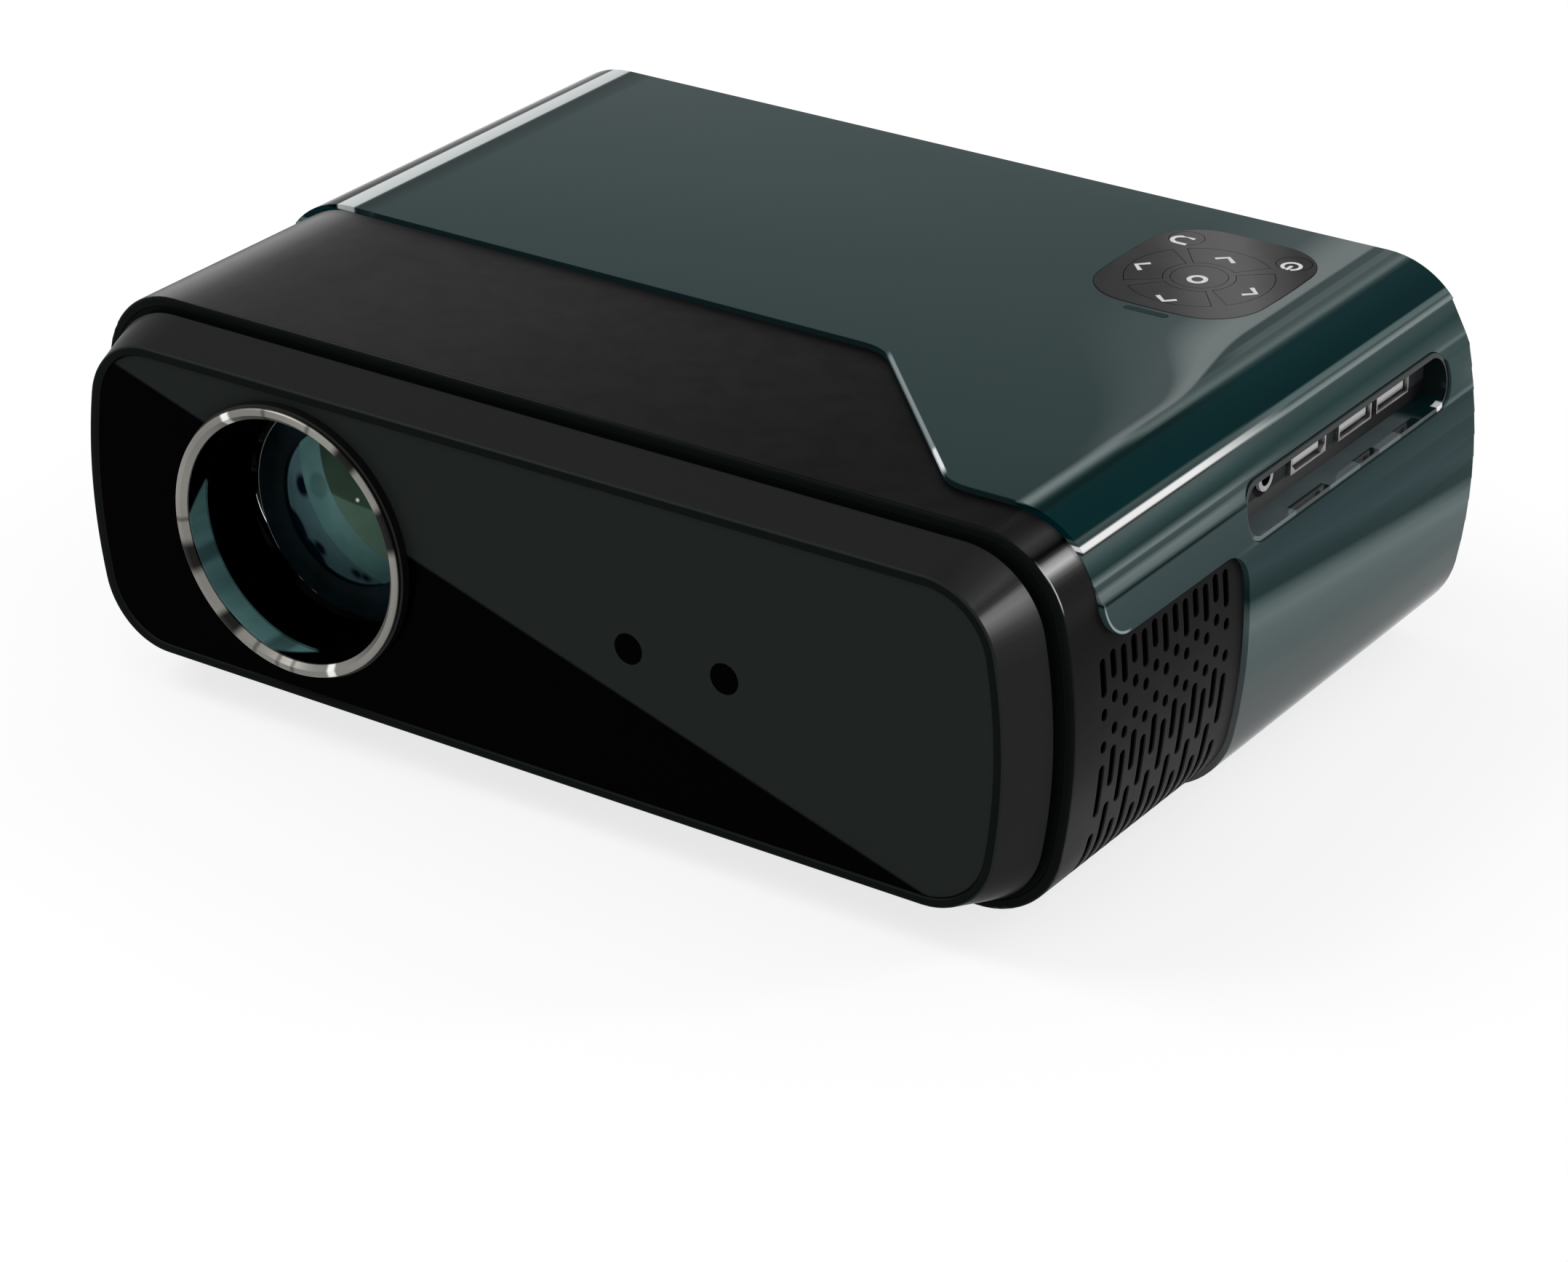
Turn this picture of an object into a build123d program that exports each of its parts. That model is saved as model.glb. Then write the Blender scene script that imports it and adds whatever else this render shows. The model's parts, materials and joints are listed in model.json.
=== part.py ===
"""Mini projector with a wrap-around glossy cover, built from separate named pieces.

Millimetres. +Z is up, the lens looks towards -Y, and the origin is the centre of the
bounding box's base, on the surface that the rubber feet stand on.
"""

from build123d import *
import os
from math import asin, atan2, cos, degrees, pi, radians, sin, sqrt

os.makedirs("parts", exist_ok=True)

# Case outline: a rounded rectangle with bulged sides, and its shells
SHELL_HALF_W = 125.0
SHELL_HALF_H = 42.0
SHELL_CORNER_R = 20.0
SHELL_EDGE_R = 0.9
SIDE_BULGE_R = 128.0
BODY_DEPTH = 180.0
RING_PROUD = 3.0
FOOT_H = 3.0
COVER_T = 1.4
COVER_GAP = 0.03
SHELL_T = 2.2
COVER_REAR_R = 1.1
SHELL_REAR_STEP = 0.8
PLAY = 0.15

# Front bezel, its groove and the acrylic panel
RIM_INSET_X = 7.7
RIM_INSET_Z = 5.75
RIM_CORNER_R = 17.0
RIM_EDGE_R = 0.7
BEZEL_INSET_X = 3.4
BEZEL_INSET_Z = 2.6
BEZEL_CORNER_R = 19.0
BEZEL_DEPTH = 12.0
GROOVE_W = 2.0
NECK_INSET = 6.0
PLUG_DEPTH = 8.0
PLUG_T = 2.0
PANEL_T = 2.0
PANEL_RECESS = 0.5
PANEL_INSET = 1.9
PANEL_EDGE = 0.35
BEZEL_WALL_T = 2.0

# Lens opening: bright ring, hood, focusing barrel and its fixed tube
LENS_INSET = 64.9
LENS_RISE = 1.5
RING_R = 31.0
RING_BORE_R = 28.6
RING_LIP_R = 27.9
RING_CHAMFER = 1.1
RING_SHANK_R = 29.6
RING_EDGE_R = 0.9
HOOD_T = 0.7
HOOD_LIP_BACK = 1.6
HOOD_STRAIGHT = 5.2
HOOD_CONE_T = 1.5
HOOD_CONE_LENGTH = 12.0
HOOD_MOUTH_R = 25.1
HOOD_FLANGE_R = 31.8
NOSE_R = 24.6
NOSE_LIP_R = 19.6
NOSE_SETBACK = 17.5
NOSE_LENGTH = 9.0
BARREL_R = 24.92
BARREL_LENGTH = 34.0
BARREL_TRAVEL = 3.0
BARREL_FIT = 0.08
TUBE_T = 3.0
TUBE_LEAD = 1.0
TUBE_FLANGE_R = 34.0
TUBE_FLANGE_T = 3.0
GLASS_R = 19.0
GLASS_RIM_T = 3.5
GLASS_LIP_R = 18.0
GLASS_LIP_T = 1.0
FRONT_GLASS_SAG = 4.3
MIDDLE_GLASS_SAG = 1.9
REAR_GLASS_SAG = 3.0
GLASS_SETBACK = 1.8
GLASS_FIT = 0.1
INNER_BORE_R = 17.1
FRONT_SEAT_LENGTH = 12.0
REAR_SEAT_LENGTH = 8.0

# Focus drive: rack on the barrel, pinion and motor on the tube
TOOTH_MODULE = 0.8
PINION_TEETH = 10
TOOTH_ADDENDUM = 0.55
TOOTH_DEDENDUM = 0.85
TOOTH_FILL = 0.40
TOOTH_SLOPE = radians(20)
TOOTH_TIP_SLOPE = radians(28)
TOOTH_BURY = 0.5
RACK_TEETH = 7
RACK_PITCH_OFFSET = 31.0
RACK_LENGTH = 16.0
RACK_W = 4.0
RACK_SIDE_PLAY = 0.6
RACK_BURY = 1.0
PINION_W = 5.0
SHAFT_R = 1.0
SHAFT_FIT = 0.06
MOTOR_R = 6.5
MOTOR_H = 10.0
MOTOR_PLATE_T = 2.0
MOTOR_BEARING = 5.0

# Sensor windows in the front panel
SENSOR_R = 3.4
SENSOR_PLAY = 0.05
SENSOR_HOLE_R = 2.9
SENSOR_INSETS = (97.4, 73.6)
SENSOR_DROP = 0.2
SENSOR_BOARD = (48.0, 16.0)

# Wrap-around cover: its stepped front edge seen from above and from the right
COVER_FRONT_LEFT = 73.9
COVER_FRONT_RIGHT = 26.0
COVER_STEP_INSETS = (84.0, 37.5)
COVER_STEP_R = 12.0
FLAP_BOTTOM_Z = 63.9
FLAP_CORNER_R = 8.0
COVER_SIDE_LEAD = 1.0
CREASE_RISE = 35.7
CREASE_FOOT = 25.8
CREASE_CUT = 0.6
COVER_FLANGE_GAP = 0.3

# Side grille: columns of slots and dots, heights above the standing surface
GRILLE_COLUMNS = 13
GRILLE_FIRST = 25.3
GRILLE_PITCH = 3.97
SLOT_W = 2.2
DOT_H = 2.7
GRILLE_REACH = 18.0
EVEN_SLOTS = ((53.0, 61.3), (25.9, 37.9), (9.0, 21.9))
EVEN_DOTS = (49.2, 42.0)
ODD_SLOTS = ((55.6, 61.8), (31.4, 40.8), (9.0, 27.7))
ODD_DOTS = (51.7, 44.7)

# Port bay on the right side and its sockets, placed from the bay's rear end
BAY_REAR = 10.5
BAY_LENGTH = 88.5
BAY_LOW_Z = 62.4
BAY_HIGH_Z = 75.4
BAY_CORNER_R = 6.0
BAY_WALL = 1.0
BAY_SINK = 0.5
PORT_PLATE_INSET = 6.6
PORT_PLATE_T = 1.6
PORT_PLATE_BORDER = 1.5
PORT_PLATE_RISE = 0.9
SOCKET_PROUD = 1.0
SOCKET_DEPTH = 11.5
SOCKET_WALL = 0.5
SOCKET_PLAY = 0.15
TONGUE_SHARE = 0.28
TONGUE_SETBACK = 1.5
HDMI_W = 15.0
HDMI_H = 5.6
HDMI_AT = 54.15
USB_W = 14.4
USB_H = 6.6
USB_AT = (33.9, 17.2)
JACK_BODY_W = 6.4
JACK_NOSE_R = 3.0
JACK_BORE_R = 1.78
JACK_AT = 72.1
JACK_RISE = 3.7

# Keypad on the top
PAD_INSET = 48.4
PAD_REAR = 34.7
PAD_W = 40.6
PAD_D = 45.9
PAD_CORNER_R = 13.0
PAD_BULGE = 1.2
PAD_PROUD = 0.15
KEY_SEAM = 0.15
KEY_TRAVEL = 0.5
KEY_LIP = 0.6
KEY_LIP_T = 0.8
KEY_HANG = 0.1
KEY_HOLE_OVER = 1.0
KEY_STEM_GAP = 0.65
SWITCH_R = 2.0
SWITCH_H = 1.2
OK_KEY_R = 6.2
ARROW_IN_R = 8.0
ARROW_OUT_R = 16.3
ARROW_SWEEP = 78.0
NAV_DROP = 2.6
CORNER_KEY_R = 3.9
CORNER_KEY_X = 13.4
CORNER_KEY_Y = 15.0
WINDOW_W = 10.5
WINDOW_D = 1.7
WINDOW_AHEAD = 2.1

# Bottom plate, feet, inserts and screws
PLATE_SINK = 0.8
PLATE_T = 2.6
PLATE_INSET = 25.0
PLATE_GAP = 0.3
LEDGE_W = 8.0
LEDGE_T = 2.6
LEDGE_FRONT_GAP = 0.5
SCREW_INSET = 3.7
SCREW_FRONT = 48.5
SCREW_REAR = 39.5
SCREW_R = 1.45
SCREW_HEAD_R = 2.7
SCREW_HEAD_T = 1.3
SCREW_CROSS_W = 0.6
SCREW_PLAY = 0.12
RUBBER_R = 6.5
RUBBER_INSET = 12.0
RUBBER_FRONT = 22.5
RUBBER_REAR = 10.5
TRIPOD_R = 2.55
TRIPOD_BODY_R = 5.0
TRIPOD_FIT = 0.05
TRIPOD_LENGTH = 8.0
TRIPOD_BOSS_R = 8.0
TILT_X = -14.0
TILT_FRONT = 30.5
TILT_STUD_R = 3.0
TILT_FIT = 0.08
TILT_PAD_R = 9.0
TILT_PAD_T = 2.9
TILT_CLEAR = 0.4
TILT_STUD_LENGTH = 16.0
TILT_GRIPS = 18
TILT_GRIP_R = 1.0
TILT_BOSS_R = 6.0
TILT_BOSS_H = 10.0
POST_R = 3.0
POST_INSET = 8.0
KEY_POST_R = 2.0
ENGINE_FOOT_INSETS = (20.0, 9.0)
BOARD_BOSSES = ((3.0, -74.0), (15.0, -74.0), (19.0, -4.0), (3.0, -50.0))
FAN_SEAT_INSET = 5.0

# Optical engine behind the lens, its plates placed from the lens axis
ENGINE_INSET = 19.0
ENGINE_W = 156.0
ENGINE_HALF_D = 42.0
OPTIC_REAR = 65.5
ENGINE_FLOOR_Z = 14.0
ENGINE_LID_GAP = 0.6
ENGINE_T = 2.0
PLATE_PLAY = 0.1
PLATE_TOP_GAP = 1.0
RAIL_T = 1.4
RAIL_H = 3.0
MIRROR_T = 3.0
MIRROR_HALF = 53.0
MIRROR_H = 58.0
LENS_HOLE_R = 25.0
FRESNEL_OUT_AT = 44.1
LCD_AT = 55.1
FRESNEL_IN_AT = 66.1
HEAT_GLASS_AT = 75.1
FRESNEL_T = 2.0
LCD_T = 3.0
LCD_FRAME = 5.0
LCD_RECESS = 0.6
HEAT_GLASS_T = 1.5
BAFFLE_AT = 90.1
BAFFLE_T = 5.0
CONDENSER_R = 27.5
CONDENSER_RIM_T = 3.4
CONDENSER_DOME = 9.0
CONDENSER_STEP = 2.0
LED_BOARD = 42.0
LED_BOARD_T = 2.5
LED_CHIP = 18.0
LED_CHIP_T = 1.5
LED_PLAY = 0.3

# Heatsink, fans and filter
SINK_BASE_T = 4.0
SINK_HALF_D = 32.0
SINK_Z = (18.0, 74.0)
FIN_LENGTH = 38.0
FIN_T = 1.2
FIN_COUNT = 11
FIN_TOP_Z = 62.0
FAN_SIZE = 50.0
FAN_DEPTH = 12.0
FAN_BORE_R = 23.5
FAN_CORNER_R = 3.0
FAN_HOLE_R = 2.1
FAN_HOLE_PITCH = 40.0
FAN_MOTOR_R = 12.0
FAN_STRUT_W = 3.0
FAN_STRUT_T = 1.6
FAN_POST_R = 3.2
FAN_SHAFT_R = 1.5
FAN_SHAFT_FIT = 0.05
FAN_HUB_T = 1.4
FAN_BLADES = 7
FAN_BLADE_R = 22.4
FAN_BLADE_T = 1.1
FAN_BLADE_PITCH = 38.0
FAN_GAP = 0.7
INTAKE_INSET = 25.0
INTAKE_FRONT = 49.5
FAN_SEAT_Z = 14.0
EXHAUST_INSET = 48.0
FILTER_T = 3.0
FILTER_SIZE = (46.0, 42.0)

# Circuit boards, speakers, antenna and power inlet. Parts on the main board are placed from
# its left rear corner, parts on the power board from its right rear corner.
BOARD_T = 1.6
MAIN_BOARD_INSET = 42.0
MAIN_BOARD_GAP = 0.2
MAIN_BOARD_REAR = 15.5
MAIN_BOARD_D = 80.0
MAIN_BOARD_TOP = 67.3
POWER_BOARD_LEFT = 5.0
POWER_BOARD_INSET = 29.0
POWER_BOARD_FRONT = 22.5
POWER_BOARD_GAP = 6.0
MAIN_BOARD_PARTS = (
    ((4.0, 19.0), (-40.0, -25.0), 6.0),
    ((4.0, 12.0), (-20.0, -10.0), 1.2),
    ((4.0, 16.0), (-66.0, -56.0), 5.0),
)
POWER_BOARD_PARTS = (
    ((-56.0, -30.0), (-34.0, -10.0), 22.0),
    ((-76.0, -62.0), (-12.0, -3.0), 11.0),
)
POWER_BOARD_CANS = (
    (-74.0, -28.0, 7.5, 26.0),
    (-12.0, -22.0, 5.0, 20.0),
    (-24.0, -6.0, 4.0, 14.0),
)
KEY_BOARD_DROP = 4.4
SPEAKER_W = 38.0
SPEAKER_H = 7.0
SPEAKER_INSET = 53.0
SPEAKER_FRONT_GAP = 2.5
SPEAKER_BACK_GAP = 4.0
SPEAKER_REAR = 39.5
SPEAKER_D = 44.0
SPEAKER_SLOTS = 6
SPEAKER_RIM = 5.0
SPEAKER_CONE_H = 4.0
REAR_PANEL_T = 2.5
REAR_PANEL_SINK = 2.2
VENT_W = 2.2
VENT_H = 20.0
VENT_PITCH = 4.2
VENT_COUNT = 11
VENT_ROW_PITCH = 23.0
LEFT_VENT_INSET = 46.0
INLET_X = 16.0
INLET_Z = 26.0
INLET_W = 22.0
INLET_H = 13.0
INLET_DEPTH = 16.0
INLET_WALL = 2.2
INLET_FLANGE = 2.0
INLET_PIN_R = 1.2
INLET_PIN_PITCH = 8.6
ANTENNA_SIZE = (40.0, 1.0, 12.0)
ANTENNA_Z = 70.0

# Places worked out from the driving dimensions
FRONT_Y = (RING_PROUD - BODY_DEPTH) / 2
REAR_Y = FRONT_Y + BODY_DEPTH
SHELL_REAR_Y = REAR_Y - SHELL_REAR_STEP
BEZEL_BACK_Y = FRONT_Y + BEZEL_DEPTH
SHELL_FRONT_Y = BEZEL_BACK_Y + GROOVE_W
MID_Z = FOOT_H + COVER_T + SHELL_HALF_H
RIM_HALF_W = SHELL_HALF_W - RIM_INSET_X
RIM_HALF_H = SHELL_HALF_H - RIM_INSET_Z
BEZEL_HALF_W = SHELL_HALF_W - BEZEL_INSET_X
BEZEL_HALF_H = SHELL_HALF_H - BEZEL_INSET_Z
LENS_X = LENS_INSET - SHELL_HALF_W
SENSOR_X = tuple(SHELL_HALF_W - inset for inset in SENSOR_INSETS)
COVER_STEP_X = tuple(SHELL_HALF_W - inset for inset in COVER_STEP_INSETS)
PLATE_HALF_W = SHELL_HALF_W - PLATE_INSET
COVER_FLANGE_X = PLATE_HALF_W + COVER_FLANGE_GAP
SCREW_X = PLATE_HALF_W - SCREW_INSET
SCREW_Y = (FRONT_Y + SCREW_FRONT, REAR_Y - SCREW_REAR)
RUBBER_X = PLATE_HALF_W - RUBBER_INSET
RUBBER_Y = (FRONT_Y + RUBBER_FRONT, REAR_Y - RUBBER_REAR)
TILT_Y = FRONT_Y + TILT_FRONT
PAD_X = SHELL_HALF_W - PAD_INSET
PAD_Y = REAR_Y - PAD_REAR
SHELL_TOP_Z = MID_Z + SHELL_HALF_H
SHELL_CEILING_Z = SHELL_TOP_Z - SHELL_T
COVER_TOP_Z = SHELL_TOP_Z + COVER_T
PANEL_Y = FRONT_Y + PANEL_RECESS
POCKET_Y = PANEL_Y + PANEL_T
BEZEL_WALL_Y = POCKET_Y + BEZEL_WALL_T
LENS_Z = MID_Z + LENS_RISE
NOSE_Y = FRONT_Y + NOSE_SETBACK
BARREL_Y = NOSE_Y + NOSE_LENGTH
BARREL_END_Y = BARREL_Y + BARREL_LENGTH
TUBE_BORE_R = BARREL_R + BARREL_FIT
TUBE_Y = BARREL_Y - BARREL_TRAVEL - TUBE_LEAD
GLASS_Y = NOSE_Y + GLASS_SETBACK
OPTIC_Y = REAR_Y - OPTIC_REAR
ENGINE_X = (ENGINE_INSET - SHELL_HALF_W, ENGINE_INSET - SHELL_HALF_W + ENGINE_W)
ENGINE_Y = (OPTIC_Y - ENGINE_HALF_D, OPTIC_Y + ENGINE_HALF_D)
ENGINE_INNER_Z = ENGINE_FLOOR_Z + ENGINE_T
ENGINE_FOOT_X = (ENGINE_X[0] + ENGINE_FOOT_INSETS[0], ENGINE_X[1] - ENGINE_FOOT_INSETS[1])
BAFFLE_X = LENS_X + BAFFLE_AT
PINION_PITCH_R = TOOTH_MODULE * PINION_TEETH / 2
PINION_X = LENS_X + RACK_PITCH_OFFSET + PINION_PITCH_R
RACK_Y = BARREL_Y + 0.5 * BARREL_LENGTH
PINION_Z = (LENS_Z - PINION_W / 2, LENS_Z + PINION_W / 2)
MOTOR_PLATE_Z = PINION_Z[1] + RACK_SIDE_PLAY
MOTOR_Z = MOTOR_PLATE_Z + MOTOR_PLATE_T
PLATE_Z = FOOT_H + PLATE_SINK
PLATE_TOP_Z = PLATE_Z + PLATE_T
BAY_END_Y = REAR_Y - BAY_REAR
BAY_FRONT_Y = BAY_END_Y - BAY_LENGTH
BAY_Y = (BAY_FRONT_Y + BAY_END_Y) / 2
BAY_Z = (BAY_LOW_Z + BAY_HIGH_Z) / 2
BAY_H = BAY_HIGH_Z - BAY_LOW_Z
PORT_PLATE_X = SHELL_HALF_W - PORT_PLATE_INSET
MAIN_BOARD_X = (SHELL_HALF_W - MAIN_BOARD_INSET, PORT_PLATE_X - PORT_PLATE_T - MAIN_BOARD_GAP)
MAIN_BOARD_Y = (REAR_Y - MAIN_BOARD_REAR - MAIN_BOARD_D, REAR_Y - MAIN_BOARD_REAR)
MAIN_BOARD_Z = MAIN_BOARD_TOP - BOARD_T
REAR_PANEL_Y = SHELL_REAR_Y - REAR_PANEL_SINK - REAR_PANEL_T
EXHAUST_Y = REAR_PANEL_Y - FAN_DEPTH
FAN_Z = FAN_SEAT_Z + FAN_SIZE / 2
INTAKE_X = SHELL_HALF_W - INTAKE_INSET
INTAKE_Y = FRONT_Y + INTAKE_FRONT
EXHAUST_X = SHELL_HALF_W - EXHAUST_INSET
LEFT_VENT_X = LEFT_VENT_INSET - SHELL_HALF_W
KEY_BOARD_TOP = SHELL_CEILING_Z - KEY_BOARD_DROP
ENGINE_TOP_Z = KEY_BOARD_TOP - BOARD_T - ENGINE_LID_GAP - ENGINE_T
NAV_X = PAD_X
NAV_Y = PAD_Y - NAV_DROP
POWER_BOARD_Z = ENGINE_FLOOR_Z
POWER_BOARD_X = (POWER_BOARD_LEFT, SHELL_HALF_W - POWER_BOARD_INSET)
POWER_BOARD_Y = (FRONT_Y + POWER_BOARD_FRONT, ENGINE_Y[0] - POWER_BOARD_GAP)
SPEAKER_X = SHELL_HALF_W - SPEAKER_INSET
LEFT_SPEAKER_Y = (SHELL_FRONT_Y + PLUG_DEPTH + SPEAKER_FRONT_GAP, ENGINE_Y[0] - SPEAKER_BACK_GAP)
RIGHT_SPEAKER_Y = (REAR_Y - SPEAKER_REAR - SPEAKER_D, REAR_Y - SPEAKER_REAR)
SPEAKERS = (("left_speaker", -SPEAKER_X, LEFT_SPEAKER_Y), ("right_speaker", SPEAKER_X, RIGHT_SPEAKER_Y))

FORWARD = (0, -1, 0)
BACK = (0, 1, 0)
RIGHT = (1, 0, 0)
UP = (0, 0, 1)


# Planes and small shapes that the pieces share
def depth_plane(y, x=0.0, z=0.0):
    """Plane across the depth at y, seen from the front: right and up."""
    return Plane(origin=(x, y, z), x_dir=RIGHT, z_dir=FORWARD)


def side_plane(x, y=0.0, z=0.0):
    """Plane across the width at x, seen from the right: back and up."""
    return Plane(origin=(x, y, z), x_dir=BACK, z_dir=RIGHT)


def level(z, x=0.0, y=0.0):
    """Level plane at height z, seen from above."""
    return Plane(origin=(x, y, z), x_dir=RIGHT, z_dir=UP)


LENS_PLANE = Plane(origin=(LENS_X, 0, LENS_Z), x_dir=RIGHT, z_dir=UP)
LENS_AXIS = Axis((LENS_X, 0, LENS_Z), BACK)


def save(piece, name):
    """Label a finished piece and write its file."""
    piece.part.label = name
    export_step(piece.part, f"parts/{name}.step")


def block(xs, ys, zs, mode=Mode.ADD):
    """Rectangular block between three pairs of limits."""
    with BuildSketch(level(zs[0], sum(xs) / 2, sum(ys) / 2)) as base:
        Rectangle(xs[1] - xs[0], ys[1] - ys[0])
    extrude(base.sketch, zs[1] - zs[0], mode=mode)


def disc(plane, radius, length, mode=Mode.ADD):
    """Round bar or hole that starts on a plane and follows its normal."""
    with BuildSketch(plane) as base:
        Circle(radius)
    extrude(base.sketch, length, mode=mode)


def case_outline(inset=0.0, half_w=SHELL_HALF_W, half_h=SHELL_HALF_H, corner_r=SHELL_CORNER_R):
    """Face of the case's bulged outline, drawn in by inset."""
    w, h, r, bulge = half_w - inset, half_h - inset, corner_r - inset, SIDE_BULGE_R - inset
    bulge_x, corner_z = w - bulge, h - r
    corner_x = bulge_x + sqrt((bulge - r) ** 2 - corner_z**2)
    turn = atan2(corner_z, corner_x - bulge_x)
    side_x, side_z = bulge_x + bulge * cos(turn), bulge * sin(turn)
    mid = (pi / 2 + turn) / 2
    mid_x, mid_z = corner_x + r * cos(mid), corner_z + r * sin(mid)
    with BuildLine() as outline:
        Line((0, h), (corner_x, h))
        ThreePointArc((corner_x, h), (mid_x, mid_z), (side_x, side_z))
        ThreePointArc((side_x, side_z), (w, 0), (side_x, -side_z))
        ThreePointArc((side_x, -side_z), (mid_x, -mid_z), (corner_x, -h))
        Line((corner_x, -h), (0, -h))
        mirror(about=Plane.YZ)
    make_face(outline.edges())


def outline_x(rise, inset=0.0):
    """Half width of the case's outline at a height above or below its middle."""
    w, h, r = SHELL_HALF_W - inset, SHELL_HALF_H - inset, SHELL_CORNER_R - inset
    bulge = SIDE_BULGE_R - inset
    bulge_x, corner_z = w - bulge, h - r
    corner_x = bulge_x + sqrt((bulge - r) ** 2 - corner_z**2)
    if abs(rise) <= bulge * corner_z / (bulge - r):
        return bulge_x + sqrt(bulge**2 - rise**2)
    return corner_x + sqrt(r**2 - (abs(rise) - corner_z) ** 2)


def case_tube(y0, y1, outer, inner):
    """Tube between two insets of the case's outline, from depth y0 to y1."""
    with BuildSketch(depth_plane(y0, z=MID_Z)) as band:
        case_outline(outer)
        with BuildSketch(mode=Mode.PRIVATE) as hollow:
            case_outline(inner)
        add(hollow.sketch, mode=Mode.SUBTRACT)
    extrude(band.sketch, y1 - y0, dir=BACK)


def turned(points, mode=Mode.ADD):
    """Ring or disc turned about the lens axis from radius and depth pairs."""
    with BuildSketch(LENS_PLANE) as profile:
        with BuildLine():
            Polyline(*points, close=True)
        make_face()
    revolve(profile.sketch, axis=LENS_AXIS, mode=mode)


# Front: bezel, panel, ring, hood and sensors
def make_front_bezel():
    """Flared frame with a closed wall behind the panel and a plug that enters the shell."""
    plug_inset = SHELL_T + PLAY
    plug_end = SHELL_FRONT_Y + PLUG_DEPTH
    with BuildPart() as piece:
        with BuildSketch(depth_plane(FRONT_Y, z=MID_Z)):
            case_outline(0, RIM_HALF_W, RIM_HALF_H, RIM_CORNER_R)
        with BuildSketch(depth_plane(BEZEL_BACK_Y, z=MID_Z)):
            case_outline(0, BEZEL_HALF_W, BEZEL_HALF_H, BEZEL_CORNER_R)
        loft()
        fillet(piece.faces().sort_by(Axis.Y)[0].outer_wire().edges(), RIM_EDGE_R)
        with BuildSketch(depth_plane(BEZEL_BACK_Y, z=MID_Z)):
            case_outline(NECK_INSET)
        extrude(amount=GROOVE_W + PLUG_DEPTH, dir=BACK)
        with BuildSketch(depth_plane(SHELL_FRONT_Y, z=MID_Z)):
            case_outline(plug_inset)
        extrude(amount=PLUG_DEPTH, dir=BACK)
        with BuildSketch(depth_plane(BEZEL_WALL_Y, z=MID_Z)):
            case_outline(NECK_INSET + PLUG_T)
        extrude(amount=SHELL_FRONT_Y - BEZEL_WALL_Y + PLUG_T, dir=BACK, mode=Mode.SUBTRACT)
        with BuildSketch(depth_plane(SHELL_FRONT_Y + PLUG_T, z=MID_Z)):
            case_outline(plug_inset + PLUG_T)
        extrude(amount=plug_end - SHELL_FRONT_Y, dir=BACK, mode=Mode.SUBTRACT)
        with BuildSketch(depth_plane(FRONT_Y, z=MID_Z)):
            case_outline(PANEL_INSET - PLAY, RIM_HALF_W, RIM_HALF_H, RIM_CORNER_R)
        extrude(amount=POCKET_Y - FRONT_Y, dir=BACK, mode=Mode.SUBTRACT)
        with BuildSketch(depth_plane(POCKET_Y)):
            with Locations((LENS_X, LENS_Z)):
                Circle(RING_SHANK_R + PLAY)
            with Locations(*[(x, MID_Z + SENSOR_DROP) for x in SENSOR_X]):
                Circle(SENSOR_HOLE_R)
        extrude(amount=BEZEL_WALL_T, dir=BACK, mode=Mode.SUBTRACT)
    save(piece, "front_bezel")


def make_front_panel():
    """Acrylic plate in the bezel, with the lens hole and two sensor holes."""
    with BuildPart() as piece:
        with BuildSketch(depth_plane(PANEL_Y, z=MID_Z)):
            case_outline(PANEL_INSET, RIM_HALF_W, RIM_HALF_H, RIM_CORNER_R)
        extrude(amount=PANEL_T, dir=BACK)
        chamfer(piece.faces().sort_by(Axis.Y)[0].outer_wire().edges(), PANEL_EDGE)
        with BuildSketch(depth_plane(PANEL_Y)):
            with Locations((LENS_X, LENS_Z)):
                Circle(RING_SHANK_R + PLAY)
            with Locations(*[(x, MID_Z + SENSOR_DROP) for x in SENSOR_X]):
                Circle(SENSOR_R + SENSOR_PLAY)
        extrude(amount=PANEL_T, dir=BACK, mode=Mode.SUBTRACT)
    save(piece, "front_panel")


def make_lens_ring():
    """Bright trim ring: a rounded lip on the panel and a shank through it."""
    lip_y = FRONT_Y - RING_PROUD
    lip_back = lip_y + HOOD_LIP_BACK - PLAY / 2
    with BuildPart() as piece:
        turned(
            [
                (RING_LIP_R, lip_y),
                (RING_R, lip_y),
                (RING_R, PANEL_Y),
                (RING_SHANK_R, PANEL_Y),
                (RING_SHANK_R, BEZEL_WALL_Y - PLAY),
                (RING_BORE_R, BEZEL_WALL_Y - PLAY),
                (RING_BORE_R, lip_back),
                (RING_LIP_R, lip_back),
            ]
        )
        chamfer(piece.faces().sort_by(Axis.Y)[0].edges().sort_by(SortBy.LENGTH)[0], RING_CHAMFER)
        fillet(piece.faces().sort_by(Axis.Y)[0].edges().sort_by(SortBy.LENGTH)[-1], RING_EDGE_R)
    save(piece, "lens_ring")


def make_lens_hood():
    """Light hood inside the ring: a straight wall, a flange behind the bezel and a cone."""
    front = FRONT_Y - RING_PROUD + HOOD_LIP_BACK
    outer = RING_BORE_R - PLAY / 2
    bend = front + HOOD_STRAIGHT
    end = bend + HOOD_CONE_LENGTH
    with BuildPart() as piece:
        turned(
            [
                (outer - HOOD_T, front),
                (outer, front),
                (outer, BEZEL_WALL_Y),
                (HOOD_FLANGE_R, BEZEL_WALL_Y),
                (HOOD_FLANGE_R, BEZEL_WALL_Y + HOOD_CONE_T),
                (outer, BEZEL_WALL_Y + HOOD_CONE_T),
                (HOOD_MOUTH_R + HOOD_CONE_T, end),
                (HOOD_MOUTH_R, end),
                (outer - 2 * HOOD_T, bend),
                (outer - HOOD_T, bend),
            ]
        )
    save(piece, "lens_hood")


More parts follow.
